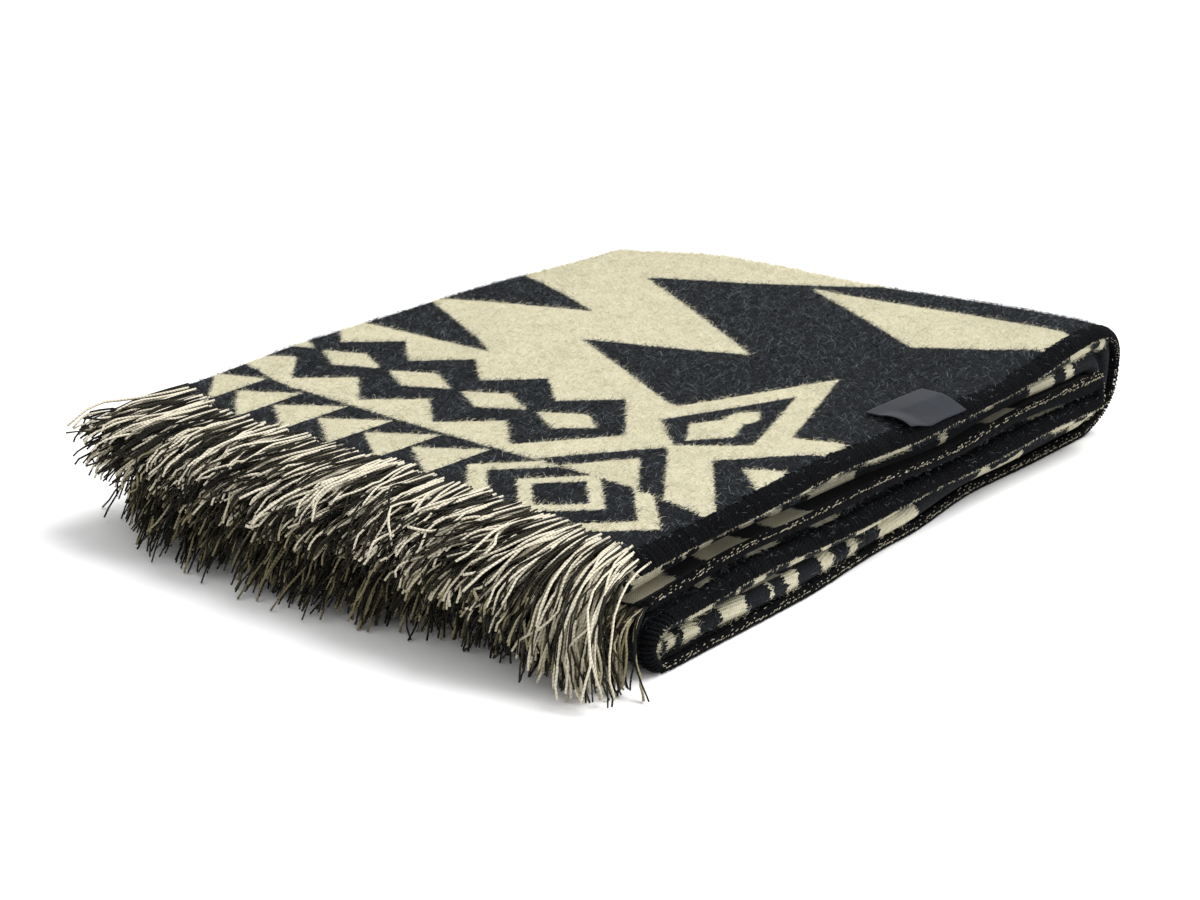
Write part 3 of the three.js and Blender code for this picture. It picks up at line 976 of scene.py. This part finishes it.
@dataclass
class Cloth:
    """The folded cloth as one closed sheet of its real thickness."""

    strip: FoldedStrip
    step_straight: float = 8.0
    step_turn: float = 3.0
    fewest_steps: int = 4
    points_a_layer: int = 34
    points_a_crease: int = 8
    rounding: float = 2.4
    thinnest: float = 0.3

    def stations(self) -> Array:
        """Gives the distances along the cloth at which it gets a row of points."""
        marks = [np.zeros(1)]
        for leg in self.strip.legs:
            start = marks[-1][-1]
            step = self.step_straight if leg.length else self.step_turn
            count = max(self.fewest_steps, round(leg.run / step))
            marks.append(start + leg.run * np.arange(1, count + 1) / count)
        return np.concatenate(marks)

    def grid(self) -> tuple[Array, Array]:
        """Gives the grid of places on the flat cloth, close together near edges and creases."""
        along = self.stations()
        first, second, total = self.strip.spans(along)
        bend = math.pi * self.strip.turn
        layer = 0.5 - 0.5 * np.cos(np.pi * np.arange(self.points_a_layer + 1) / self.points_a_layer)
        crease = np.arange(1, self.points_a_crease) / self.points_a_crease
        pieces = [
            first[:, None] * layer,
            first[:, None] + bend * crease,
            mix((first + bend)[:, None], second[:, None], layer),
            second[:, None] + bend * crease,
            mix((second + bend)[:, None], total[:, None], layer),
        ]
        across = np.concatenate(pieces, axis=1)
        return np.repeat(along[:, None], across.shape[1], axis=1), across

    def half_at(self, along: Array, across: Array) -> Array:
        """Gives half the thickness, rounded off at the two free edges."""
        _, _, total = self.strip.spans(along)
        inward = np.minimum(across, total - across) / self.rounding
        round_off = np.sqrt(np.clip(1.0 - (1.0 - np.clip(inward, 0.0, 1.0)) ** 2, 0.0, 1.0))
        return self.thinnest + (self.strip.half - self.thinnest) * round_off

    def build(self) -> MeshParts:
        """Builds the closed sheet: the brushed face in slot 0 and the reverse in slot 1."""
        along, across = self.grid()
        half = self.half_at(along, across)
        rows, columns = along.shape
        faces, side = sheet_faces(rows, columns)
        slots = np.zeros(len(faces), int)
        slots[side:2 * side] = 1
        flat = np.stack([along, across], axis=-1).reshape(-1, 2)
        points = [self.strip.place(along, across, height).reshape(-1, 3) for height in (half, -half)]
        return MeshParts(
            np.concatenate(points), faces, flat=np.concatenate([flat, flat]), slots=slots
        )


@dataclass(frozen=True)
class NapPatch:
    """A stretch of the cloth that shows, and the fibres that lie on it."""

    leg: str
    share: tuple[float, float]
    across: tuple[float, float]
    face: Face
    count: int


@dataclass
class Nap:
    """The brushed fibres that lie on the cloth where it shows. Each is a thin curved blade."""

    strip: FoldedStrip
    patches: tuple[NapPatch, ...]
    seed: int
    width: float = 0.24
    reach: tuple[float, float] = (2.4, 6.4)
    rise: tuple[float, float] = (0.5, 1.8)
    spread: float = 0.5
    curve: float = 0.22
    tones: tuple[float, float] = (0.1, 0.7)
    root_depth: float = 0.25
    bend_width: float = 0.8
    tip_rise: float = 0.6
    hair_share: float = 0.2
    hair_rise: float = 0.7
    hair_spread: float = 3.0
    hair_curve: float = 1.8
    hair_width: float = 0.8
    hair_tones: tuple[float, float] = (0.85, 1.0)
    blade: tuple[tuple[int, int, int], ...] = ((0, 1, 3), (0, 3, 2), (2, 3, 4))

    def build(self) -> MeshParts:
        """Builds the fibres of every patch. Most follow the brushing, and a few are pale, curly hairs."""
        stream = np.random.default_rng(self.seed)
        points, flats, tones = [], [], []
        for patch in self.patches:
            count = patch.count
            start = self.strip.start_of(patch.leg)
            run = self.strip.leg_named(patch.leg).run
            along = start + run * stream.uniform(*patch.share, count)
            across = stream.uniform(*patch.across, count)
            side = 1.0 if patch.face is Face.FRONT else -1.0
            hair = stream.random(count) < self.hair_share
            rise = stream.uniform(*self.rise, count) + np.where(hair, self.hair_rise, 0.0)
            angle = stream.normal(0.0, 1.0, count) * np.where(hair, self.hair_spread, self.spread)
            reach = stream.uniform(*self.reach, count) * np.where(stream.random(count) < 0.5, -1.0, 1.0)
            step_along, step_across = reach * np.cos(angle), reach * np.sin(angle)
            curve = stream.normal(0.0, self.curve, count) * np.where(hair, self.hair_curve, 1.0)
            top = side * self.strip.half
            root = self.strip.place(along, across, top - side * self.root_depth)
            bend = self.strip.place(
                along + 0.5 * step_along - curve * step_across,
                across + 0.5 * step_across + curve * step_along,
                top + side * rise,
            )
            tip_height = top + side * self.tip_rise * rise
            tip = self.strip.place(along + step_along, across + step_across, tip_height)
            breadth = unit(np.cross(tip - root, stream.normal(size=(count, 3)))) * (self.width / 2.0)
            breadth = breadth * np.where(hair, self.hair_width, 1.0)[:, None]
            narrower = self.bend_width * breadth
            corners = [root - breadth, root + breadth, bend - narrower, bend + narrower, tip]
            points.append(np.stack(corners, axis=1).reshape(-1, 3))
            flats.append(np.repeat(np.stack([along, across], axis=-1), len(corners), axis=0))
            hair_tone = stream.uniform(*self.hair_tones, count)
            tone = np.where(hair, hair_tone, stream.uniform(*self.tones, count))
            tones.append(np.repeat(tone, len(corners)))
        vertices = np.concatenate(points)
        blade = np.array(self.blade)
        starts = np.arange(0, len(vertices), blade.max() + 1)
        faces = (starts[:, None, None] + blade).reshape(-1, 3)
        return MeshParts(
            vertices, faces, flat=np.concatenate(flats), values={"fibre_tone": np.concatenate(tones)}
        )


@dataclass
class Overlock:
    """Overlock stitching along a free edge: dark thread wrapped round it, and a cream chain."""

    strip: FoldedStrip
    far_edge: bool = False
    pitch: float = 1.55
    thread: float = 0.8
    thread_end: float = 0.4
    thread_uneven: float = 0.1
    slant: float = 1.3
    stray: float = 0.18
    reach_uneven: float = 0.08
    inner_part: float = 3.0
    bead: float = 0.26
    bead_pitch: float = 1.35
    bead_half: tuple[float, float] = (0.35, 0.75)
    bead_taper: tuple[float, ...] = (0.5, 1.0, 0.5)
    bead_widths: tuple[float, float] = (0.7, 1.2)
    bead_scatter: tuple[float, float] = (0.2, 0.3)
    bead_slant: tuple[float, float] = (0.3, 0.6)
    bead_facing: tuple[float, float, float] = (0.0, 0.3, 1.0)
    bead_tones: tuple[float, float] = (0.2, 1.0)
    chain_lines: tuple[tuple[float, float, float], ...] = (
        (-1.8, -1.2, 0.62), (-0.8, -2.5, 0.28), (1.6, -3.0, 0.12),
    )
    seed: int = 7
    wrap: tuple[tuple[float, float], ...] = (
        (8.5, 1.9), (6.8, 2.9), (3.4, 3.3), (0.4, 2.6), (-1.2, 0.9), (-1.2, -0.9), (0.4, -2.6), (4.5, -2.8),
    )

    def _across(self, along: Array, inward: Array) -> Array:
        """Turns a distance in from the edge into a place across the flat cloth."""
        if not self.far_edge:
            return inward
        _, _, total = self.strip.spans(along)
        return total - inward

    def wraps(self) -> MeshParts:
        """Builds the thread that wraps the edge, one turn at each stitch."""
        stream = np.random.default_rng(self.seed)
        along = np.arange(self.pitch, self.strip.length - self.pitch, self.pitch)
        inward = np.array([place for place, _ in self.wrap])[None, :]
        height = np.array([level for _, level in self.wrap])[None, :]
        lean = np.linspace(-self.slant, self.slant, len(self.wrap))[None, :]
        jitter = stream.normal(0.0, self.stray, (len(along), 1))
        reach = 1.0 + stream.normal(0.0, self.reach_uneven, (len(along), 1))
        places = along[:, None] + lean + jitter
        across = self._across(places, np.where(inward > self.inner_part, inward * reach, inward))
        paths = self.strip.place(places, across, height)
        edge = self._across(along, np.zeros(1))
        ahead = self.strip.place(along + 1.0, edge, np.zeros(1))
        behind = self.strip.place(along - 1.0, edge, np.zeros(1))
        radii = np.full(paths.shape[:2], self.thread)
        radii[:, [0, -1]] = self.thread_end
        radii = radii * (1.0 + stream.normal(0.0, self.thread_uneven, (len(along), 1)))
        parts = tubes(paths, radii, unit(ahead - behind))
        tones = stream.uniform(0.0, 1.0, len(along))
        parts.values["yarn_tone"] = np.repeat(tones, paths.shape[1] * SECTION_CORNERS)
        return parts

    def chain(self) -> MeshParts:
        """Builds the cream chains that lock the stitches, as lines of short slanted beads."""
        stream = np.random.default_rng(self.seed + 1)
        paths, radii = [], []
        ends = np.linspace(-1.0, 1.0, len(self.bead_taper))[None, :]
        taper = self.bead * np.array(self.bead_taper)[None, :]
        for inward, height, share in self.chain_lines:
            along = np.arange(self.pitch * 2.0, self.strip.length - self.pitch, self.bead_pitch)
            along = along[stream.random(len(along)) < share]
            one_a_bead = (len(along), 1)
            reach = ends * stream.uniform(*self.bead_half, one_a_bead)
            places = along[:, None] + reach
            in_from_edge = inward + stream.normal(0.0, self.bead_scatter[0], one_a_bead)
            across = self._across(places, in_from_edge + self.bead_slant[0] * reach)
            level = height + stream.normal(0.0, self.bead_scatter[1], one_a_bead)
            paths.append(self.strip.place(places, across, level + self.bead_slant[1] * reach))
            radii.append(taper * stream.uniform(*self.bead_widths, one_a_bead))
        chained = np.concatenate(paths)
        facing = np.tile(np.array([self.bead_facing]), (len(chained), 1))
        parts = tubes(chained, np.concatenate(radii), facing)
        tones = stream.uniform(*self.bead_tones, len(chained))
        parts.values["yarn_tone"] = np.repeat(tones, len(self.bead_taper) * SECTION_CORNERS)
        return parts


@dataclass(frozen=True)
class FringeRow:
    """One row of yarns: where it grows from, how far it reaches and where its cut tips lie."""

    name: str
    layer: int
    out: float
    tip: float
    corner_out: float
    corner_tip: float
    rear_out: float
    waist: float
    sway: float
    dark_share: float
    # Tone range of the pale yarns, set lower in lower rows as painted shade.
    pale_tone_with_shade: tuple[float, float]


@dataclass(frozen=True)
class FringeTier:
    """Three rows that grow from the same end of the cloth, and the shape that their yarns share."""

    first_end: bool
    corner_reach: float
    shoulder: float
    landing: float
    rows: tuple[FringeRow, ...]


@dataclass
class Fringe:
    """The warp yarns that are left loose at the cloth's two ends, in soft locks."""

    strip: FoldedStrip
    # The pale yarns' tone ranges drop in the lower rows: painted shade of the rows under the top one.
    tiers: tuple[FringeTier, ...] = (
        FringeTier(True, 70.0, 0.96, 0.62, (
            FringeRow("fringe_1", 1, 57, 49, 51, 5, 15, 0.0, 17.0, 0.6, (0.84, 1.0)),
            FringeRow("fringe_2", 0, 59, 41, 48, 2, 13, 0.0, 9.0, 0.68, (0.55, 0.95)),
            FringeRow("fringe_3", -1, 58, 37, 42, 3, 8, 0.0, 2.0, 0.78, (0.35, 0.8)),
        )),
        FringeTier(False, 48.0, 0.82, 0.52, (
            FringeRow("fringe_4", -1, 56, 14, 38, 3, -4, 0.34, 0.0, 0.76, (0.4, 0.85)),
            FringeRow("fringe_5", 0, 60, 7, 34, 2, -10, 0.35, -2.0, 0.76, (0.4, 0.8)),
            FringeRow("fringe_6", 1, 62, 1, 30, 1, -14, 0.36, -3.0, 0.76, (0.4, 0.8)),
        )),
    )
    yarns_a_row: int = 600
    radius: float = 0.66
    stations: int = 11
    corner_core: float = 8.0
    corner_landing: float = 0.3
    corner_fan: float = 14.0
    corner_calm: float = 0.6
    corner_even: float = 0.75
    corner_pale: float = 0.5
    # How much of the painted shade near the floor the corner yarns are spared.
    corner_unshaded: float = 0.8
    rear: tuple[float, float] = (300.0, 400.0)
    rear_rise: float = 0.15
    rear_calm: float = 0.7
    waist: tuple[float, float] = (90.0, 200.0)
    lock_start: float = -40.0
    lock_pitch: float = 9.0
    lock_wander: tuple[float, float] = (0.6, 13.0)
    lock_gather: tuple[float, float] = (0.1, 0.8)
    top_inside: float = 9.0
    low_inside: float = 1.5
    top_level: float = 2.6
    level_scatter: float = 0.8
    out_scatter: tuple[float, float] = (0.06, 0.05)
    tip_scatter: tuple[float, float] = (3.2, 3.0)
    sway_scatter: tuple[float, float] = (5.5, 8.0)
    wild_share: float = 0.15
    wild_size: float = 2.0
    comb: tuple[float, float] = (0.9, 24.0)
    root_run: float = 2.5
    knee_out: tuple[float, float] = (0.5, 0.85)
    knee_sway: float = 0.25
    knee_drop: float = 0.04
    corner_shoulder: float = 0.97
    shoulder_sway: float = 0.7
    shortest: float = 0.5
    short_power: float = 1.7
    widths: tuple[float, float] = (0.85, 1.15)
    pale_width: float = 0.2
    dark_tone: tuple[float, float] = (0.0, 0.06)
    # Painted shade: yarn tone darkens towards the floor, below these heights.
    floor_shade_tone: float = 0.62
    low_from: float = 8.0
    low_reach: float = 42.0
    curl: tuple[float, float] = (2.3, 4.5)
    curl_turns: tuple[float, float] = (0.5, 1.6)
    curl_axes: tuple[float, float, float] = (0.3, 1.1, 0.8)
    crimp: float = 0.3
    crimp_from: float = 0.5

    def layer_ends(self, tier: FringeTier, row: FringeRow) -> tuple[float, float, float]:
        """Gives the row's place along the cloth, and its two ends across the flat cloth."""
        along = 0.0 if tier.first_end else self.strip.length
        first, second, total = (float(value) for value in self.strip.spans(np.array(along)))
        bend = math.pi * self.strip.turn
        ends = {1: (0.0, first), 0: (second, first + bend), -1: (second + bend, total)}
        return along, *ends[row.layer]

    def build(self, tier: FringeTier, row: FringeRow, seed: int) -> MeshParts:
        """Builds one row of yarns.

        Args:
            tier: The tier that the row is of.
            row: The row.
            seed: Seed of its irregularities.

        Returns:
            The yarns' mesh.
        """
        stream = np.random.default_rng(seed)
        count = self.yarns_a_row
        on_top = row.layer == 1 and tier.first_end
        along, front, back = self.layer_ends(tier, row)
        share = (np.arange(count) + stream.uniform(0.0, 1.0, count)) / count
        across = mix(front, back, share)
        inside_reach = self.top_inside if on_top else self.low_inside
        inside = stream.uniform(0.0, 1.0, count) ** 2 * inside_reach
        level = stream.normal(0.0, self.level_scatter, count) + (self.top_level if on_top else 0.0)
        root = self.strip.place(along + (inside if tier.first_end else -inside), across, level)
        x, y, z = root.T
        corner = 1.0 - smooth((y - self.corner_core) / (tier.corner_reach - self.corner_core))
        rear = smooth((y - self.rear[0]) / (self.rear[1] - self.rear[0]))
        drawn_in = row.waist * (1.0 - smooth((y - self.waist[0]) / (self.waist[1] - self.waist[0])))
        wander, wander_period = self.lock_wander
        shifted = (y - self.lock_start) / self.lock_pitch + wander * np.sin(y / wander_period + seed)
        lock = np.clip(np.floor(shifted), 0, None).astype(int)
        locks = lock.max() + 1
        gather = (lock + 0.5 - shifted) * self.lock_pitch * stream.uniform(*self.lock_gather, locks)[lock]
        lock_sway, lock_out, lock_tip = (stream.normal(0.0, 1.0, locks)[lock] for _ in range(3))
        out = mix(row.out * (1.0 - drawn_in), row.corner_out, corner) + row.rear_out * rear
        each, together = self.out_scatter
        out = out * (1.0 + stream.normal(0.0, each, count) + together * lock_out)
        tip = mix(row.tip, row.corner_tip, corner) * (1.0 + self.rear_rise * rear)
        each, together = self.tip_scatter
        tip = tip + stream.normal(0.0, each, count) + together * lock_tip * (1.0 - corner)
        tip = np.maximum(tip, self.radius)
        drop = z - tip
        wild = np.where(stream.random(count) < self.wild_share, self.wild_size, 1.0)
        depth, period = self.comb
        each, together = self.sway_scatter
        combed = row.sway * (1.0 + depth * np.sin(y / period + seed)) + together * lock_sway
        combed = combed * (1.0 - self.corner_calm * corner) * (1.0 - self.rear_calm * rear)
        sway = gather + combed - self.corner_fan * corner
        sway = sway + stream.normal(0.0, each, count) * wild
        knee = out * mix(*self.knee_out, corner)
        shoulder = out * mix(tier.shoulder, self.corner_shoulder, corner)
        landing = tip + drop * mix(tier.landing, self.corner_landing, corner)
        control = [
            root + np.array([self.root_run, 0.0, 0.0]),
            np.stack([x - knee, y + self.knee_sway * sway, z - self.knee_drop * drop], -1),
            np.stack([x - shoulder, y + self.shoulder_sway * sway, landing], -1),
            np.stack([x - out, y + sway, tip], -1),
        ]
        missing = (1.0 - self.shortest) * stream.uniform(0.0, 1.0, count) ** self.short_power
        missing = missing * (1.0 - self.corner_even * corner)
        length = 1.0 - missing[:, None]
        t = np.linspace(0.0, 1.0, self.stations)[None, :] * length
        weights = [(1 - t) ** 3, 3 * t * (1 - t) ** 2, 3 * t * t * (1 - t), t ** 3]
        paths = sum(w[:, :, None] * c[:, None, :] for w, c in zip(weights, control))
        paths = paths + self._curl(stream, t, wild)
        paths[..., 2] = np.maximum(paths[..., 2], self.radius)
        dark = stream.random(count) < row.dark_share * (1.0 - self.corner_pale * corner)
        width = stream.uniform(*self.widths, count) + self.pale_width * np.where(dark, 0.0, 1.0)
        radii = self.radius * width[:, None] * np.ones_like(t)
        sideways = np.tile(np.array([[0.0, 1.0, 0.0]]), (count, 1))
        parts = tubes(paths, radii, sideways)
        dark_tone = stream.uniform(*self.dark_tone, count)
        tone = np.where(dark, dark_tone, stream.uniform(*row.pale_tone_with_shade, count))
        # Painted shade: each yarn darkens near the floor, less so at the corner.
        painted_shade = mix(self.floor_shade_tone, 1.0, smooth((paths[..., 2] - self.low_from) / self.low_reach))
        painted_shade = mix(painted_shade, 1.0, self.corner_unshaded * corner[:, None])
        parts.values["yarn_tone"] = np.repeat((tone[:, None] * painted_shade).ravel(), SECTION_CORNERS)
        return parts

    def _curl(self, stream: np.random.Generator, t: Array, wild: Array) -> Array:
        """Gives each yarn its own slow wave and fine crimp, none at the root."""
        count = len(wild)
        usual, most = self.curl
        size = np.clip(np.abs(stream.normal(0.0, usual, (count, 3, 1))), 0.0, most) * wild[:, None, None]
        turns = stream.uniform(*self.curl_turns, (count, 3, 1))
        phase = stream.uniform(0.0, 1.0, (count, 3, 1))
        wave = size * (np.sin(2.0 * np.pi * (turns * t[:, None] + phase)) - np.sin(2.0 * np.pi * phase))
        crimp = stream.normal(0.0, self.crimp, (count, 3, self.stations))
        free = np.clip(t / self.crimp_from, 0.0, 1.0)[:, None]
        curled = wave * np.array(self.curl_axes)[None, :, None] + crimp
        return np.swapaxes(curled * free, 1, 2)


@dataclass
class Label:
    """The small satin label that is sewn on the open side. It is left bare."""

    strip: FoldedStrip
    along: tuple[float, float] = (240.0, 300.0)
    across: tuple[float, float] = (-2.0, 30.0)
    thickness: float = 0.45
    clearance: float = 2.2
    flare_lift: float = 5.0
    flare_reach: float = 24.0
    steps: tuple[int, int] = (48, 30)
    crease_height: float = 0.35
    crease_length: float = 5.0
    crease_slant: float = 0.6
    pucker_height: float = 0.25
    pucker_length: float = 7.0
    pucker_reach: float = 12.0

    def build(self) -> MeshParts:
        """Builds the label as a thin closed sheet with a flared corner and slight creases."""
        u = np.linspace(*self.along, self.steps[0] + 1)[:, None]
        v = np.linspace(*self.across, self.steps[1] + 1)[None, :]
        u, v = np.broadcast_arrays(u, v)
        away = np.hypot(u - self.along[0], v - self.across[0]) / self.flare_reach
        flare = self.flare_lift * (1.0 - smooth(away))
        slanted = (u - v * self.crease_slant) / self.crease_length
        crease = self.crease_height * np.sin(slanted) * (1.0 - smooth(away * self.crease_slant))
        seam = smooth((self.pucker_reach - v) / self.pucker_reach)
        pucker = self.pucker_height * np.sin(u / self.pucker_length) * seam
        base = self.strip.half + self.clearance + flare + crease + pucker
        top = self.strip.place(u, v, base + self.thickness).reshape(-1, 3)
        bottom = self.strip.place(u, v, base).reshape(-1, 3)
        return MeshParts(np.concatenate([top, bottom]), sheet_faces(*u.shape)[0])


@dataclass
class Studio:
    """A pale floor, soft lights and the photograph's own viewpoint."""

    origin: Array
    eye: tuple[float, float, float] = (-815.3, -684.4, 499.1)
    yaw: float = 41.07
    pitch: float = 19.44
    roll: float = -0.56
    focal_px: float = 2258.5
    frame_px: float = 1200.0
    sensor: float = 36.0
    clip_start: float = 0.01
    floor_size: float = 12.0
    floor_colour: str = "FCFCFC"
    floor_roughness: float = 0.9
    sky: float = 0.8
    sun: float = 2.6
    sun_angle: float = 38.0
    sun_way: tuple[float, float, float] = (-0.8, 0.45, -1.5)
    front: float = 6.0
    front_size: float = 1.2
    front_place: tuple[float, float, float] = (0.3, -1.9, 0.6)

    def camera(self) -> None:
        """Sets the camera at the photograph's viewpoint."""
        yaw, pitch, roll = (math.radians(angle) for angle in (self.yaw, self.pitch, self.roll))
        ahead = Vector((math.cos(yaw) * math.cos(pitch), math.sin(yaw) * math.cos(pitch), -math.sin(pitch)))
        right = Vector((math.sin(yaw), -math.cos(yaw), 0.0))
        up = right.cross(ahead)
        turned_right = math.cos(roll) * right + math.sin(roll) * up
        turned_up = math.cos(roll) * up - math.sin(roll) * right
        data = bpy.data.cameras.new("studio_camera")
        data.sensor_width = self.sensor
        data.lens = self.focal_px * self.sensor / self.frame_px
        data.clip_start = self.clip_start
        camera = bpy.data.objects.new("studio_camera", data)
        bpy.context.scene.collection.objects.link(camera)
        place = (np.array(self.eye) - self.origin) * MM
        turn = Matrix((turned_right, turned_up, -ahead)).transposed().to_4x4()
        camera.matrix_world = Matrix.Translation(Vector(place)) @ turn
        bpy.context.scene.camera = camera

    def floor(self) -> None:
        """Lays the pale floor."""
        bpy.ops.mesh.primitive_plane_add(size=self.floor_size, location=(0.0, 0.0, 0.0))
        floor = bpy.context.object
        floor.name = "studio_floor"
        material, _, shader = new_finish("pale_floor")
        shader.inputs["Base Color"].default_value = srgb(self.floor_colour)
        shader.inputs["Roughness"].default_value = self.floor_roughness
        floor.data.materials.append(material)

    def lights(self) -> None:
        """Hangs soft lights over the stack, with a bright sky all round."""
        bpy.context.scene.view_settings.view_transform = "Standard"
        world = bpy.data.worlds.new("studio_sky")
        bpy.context.scene.world = world
        world.use_nodes = True
        sky = world.node_tree.nodes["Background"]
        sky.inputs["Color"].default_value = (1.0, 1.0, 1.0, 1.0)
        sky.inputs["Strength"].default_value = self.sky
        data = bpy.data.lights.new("key_light", "SUN")
        data.energy = self.sun
        data.angle = math.radians(self.sun_angle)
        key = bpy.data.objects.new("key_light", data)
        bpy.context.scene.collection.objects.link(key)
        key.rotation_euler = Vector(self.sun_way).to_track_quat("-Z", "Y").to_euler()
        data = bpy.data.lights.new("front_light", "AREA")
        data.shape = "DISK"
        data.size = self.front_size
        data.energy = self.front
        front = bpy.data.objects.new("front_light", data)
        bpy.context.scene.collection.objects.link(front)
        front.location = self.front_place
        front.rotation_euler = (-front.location).to_track_quat("-Z", "Y").to_euler()


@dataclass
class ThrowBlanket:
    """The whole throw: cloth, nap, stitching, fringe and label."""

    strip: FoldedStrip = field(default_factory=FoldedStrip)
    cloth_finish: BrushedCloth = BrushedCloth()
    # The brownish middle stop gives the dim yarn tones, which carry painted shade, a shaded hue.
    fringe_finish: SpunYarn = SpunYarn(
        "plied_acrylic_yarn", light="F6EED8", middle="978D6C", dark="030405", specular=0.16, sheen=0.03
    )
    wrap_finish: SpunYarn = SpunYarn(
        "overlock_thread", light="0F1115", middle="090A0E", dark="040508",
        roughness=0.85, specular=0.12, sheen=0.02,
    )
    chain_finish: SpunYarn = SpunYarn(
        "overlock_chain_thread", light="E6DFC8", middle="C9C0A0", dark="8A8264"
    )
    label_finish: LabelSatin = LabelSatin()
    mid_pass: float = 233.0
    nap_overlap: float = 2.0
    hidden_pitch: float = 2.6
    hidden_thread: float = 1.2
    origin: Array = field(default_factory=lambda: np.zeros(3))

    def find_origin(self, parts: MeshParts) -> None:
        """Finds where the frame's origin lies in the fold, from the CAD cloth's box."""
        low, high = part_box("cloth")
        middle = (np.array(low) + np.array(high)) / 2.0 / MM
        own = (parts.points.min(axis=0) + parts.points.max(axis=0)) / 2.0
        self.origin = np.array([own[0] - middle[0], own[1] - middle[1], 0.0])

    def add(
        self, name: str, parts: MeshParts, finishes: list[bpy.types.Material], slot: str
    ) -> bpy.types.Object:
        """Adds a piece to the scene, on the root body and with its finishes."""
        piece = make_piece(name, parts, self.origin, finishes)
        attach(piece, "root")
        LOG.info("%s: %d faces", name, len(parts.faces))
        return piece

    def nap_patches(self) -> tuple[tuple[str, tuple[NapPatch, ...]], ...]:
        """Lists the stretches of cloth that show, by the piece that their fibres go in."""
        first, second, _ = (float(value) for value in self.strip.spans(np.array(self.mid_pass)))
        bend = math.pi * self.strip.turn
        back = (first - self.nap_overlap, first + bend + self.nap_overlap)
        front = (second - self.nap_overlap, second + bend + self.nap_overlap)
        whole = (0.0, 1.0)
        passes = ("pass_1", "pass_2", "pass_3", "pass_4")
        turns = ("outer_turn", "inner_turn", "low_turn")
        top = (
            NapPatch("pass_1", whole, (1.0, first + self.nap_overlap), Face.FRONT, 66000),
        )
        sides = (
            NapPatch("outer_turn", whole, (8.0, first), Face.FRONT, 12000),
            NapPatch("low_turn", whole, (8.0, first), Face.FRONT, 2000),
            *(NapPatch(leg, whole, front, Face.REVERSE, 2400) for leg in passes),
            *(NapPatch(leg, whole, front, Face.REVERSE, 400) for leg in turns),
            *(NapPatch(leg, whole, back, Face.FRONT, 3500) for leg in passes),
            *(NapPatch(leg, whole, (0.5, 12.0), Face.FRONT, 2200) for leg in passes[1:]),
        )
        return (("nap_top", top), ("nap_sides", sides))

    def build(self) -> None:
        front = self.cloth_finish.make(Face.FRONT)
        reverse = self.cloth_finish.make(Face.REVERSE)
        fibre_finishes = {face: self.cloth_finish.make(face, fibres=True) for face in Face}
        cloth_parts = Cloth(self.strip).build()
        self.find_origin(cloth_parts)
        cloth = self.add("folded_cloth", cloth_parts, [front, reverse], "cloth")
        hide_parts("cloth")
        for index, (name, patches) in enumerate(self.nap_patches()):
            for face in Face:
                chosen = tuple(patch for patch in patches if patch.face is face)
                if chosen:
                    parts = Nap(self.strip, chosen, seed=31 + index).build()
                    self.add(f"{name}_{face.value}", parts, [fibre_finishes[face]], "cloth")
        wrap, chain = self.wrap_finish.make(), self.chain_finish.make()
        hidden = Overlock(
            self.strip, far_edge=True, pitch=self.hidden_pitch, thread=self.hidden_thread
        )
        for side, stitching in (("open", Overlock(self.strip)), ("hidden", hidden)):
            self.add(f"overlock_{side}_edge", stitching.wraps(), [wrap], "cloth")
            self.add(f"chain_{side}_edge", stitching.chain(), [chain], "cloth")
        yarn = self.fringe_finish.make()
        fringe = Fringe(self.strip)
        rows = [(tier, row) for tier in fringe.tiers for row in tier.rows]
        for index, (tier, row) in enumerate(rows):
            piece = self.add(f"yarns_{row.name}", fringe.build(tier, row, 11 + index), [yarn], "fringe")
            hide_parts(row.name)
        label = self.add("satin_label", Label(self.strip).build(), [self.label_finish.make()], "label")
        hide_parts("label")
        flat = (self.strip.flat_width * MM, self.strip.length * MM)


def main() -> None:
    """Builds the throw and the studio round it."""
    logging.basicConfig(level=logging.INFO, format="%(name)s: %(message)s")
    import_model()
    bpy.ops.object.select_all(action="DESELECT")
    throw = ThrowBlanket()
    throw.build()
    studio = Studio(throw.origin)
    studio.floor()
    studio.lights()
    studio.camera()


if __name__ == "__main__":
    main()
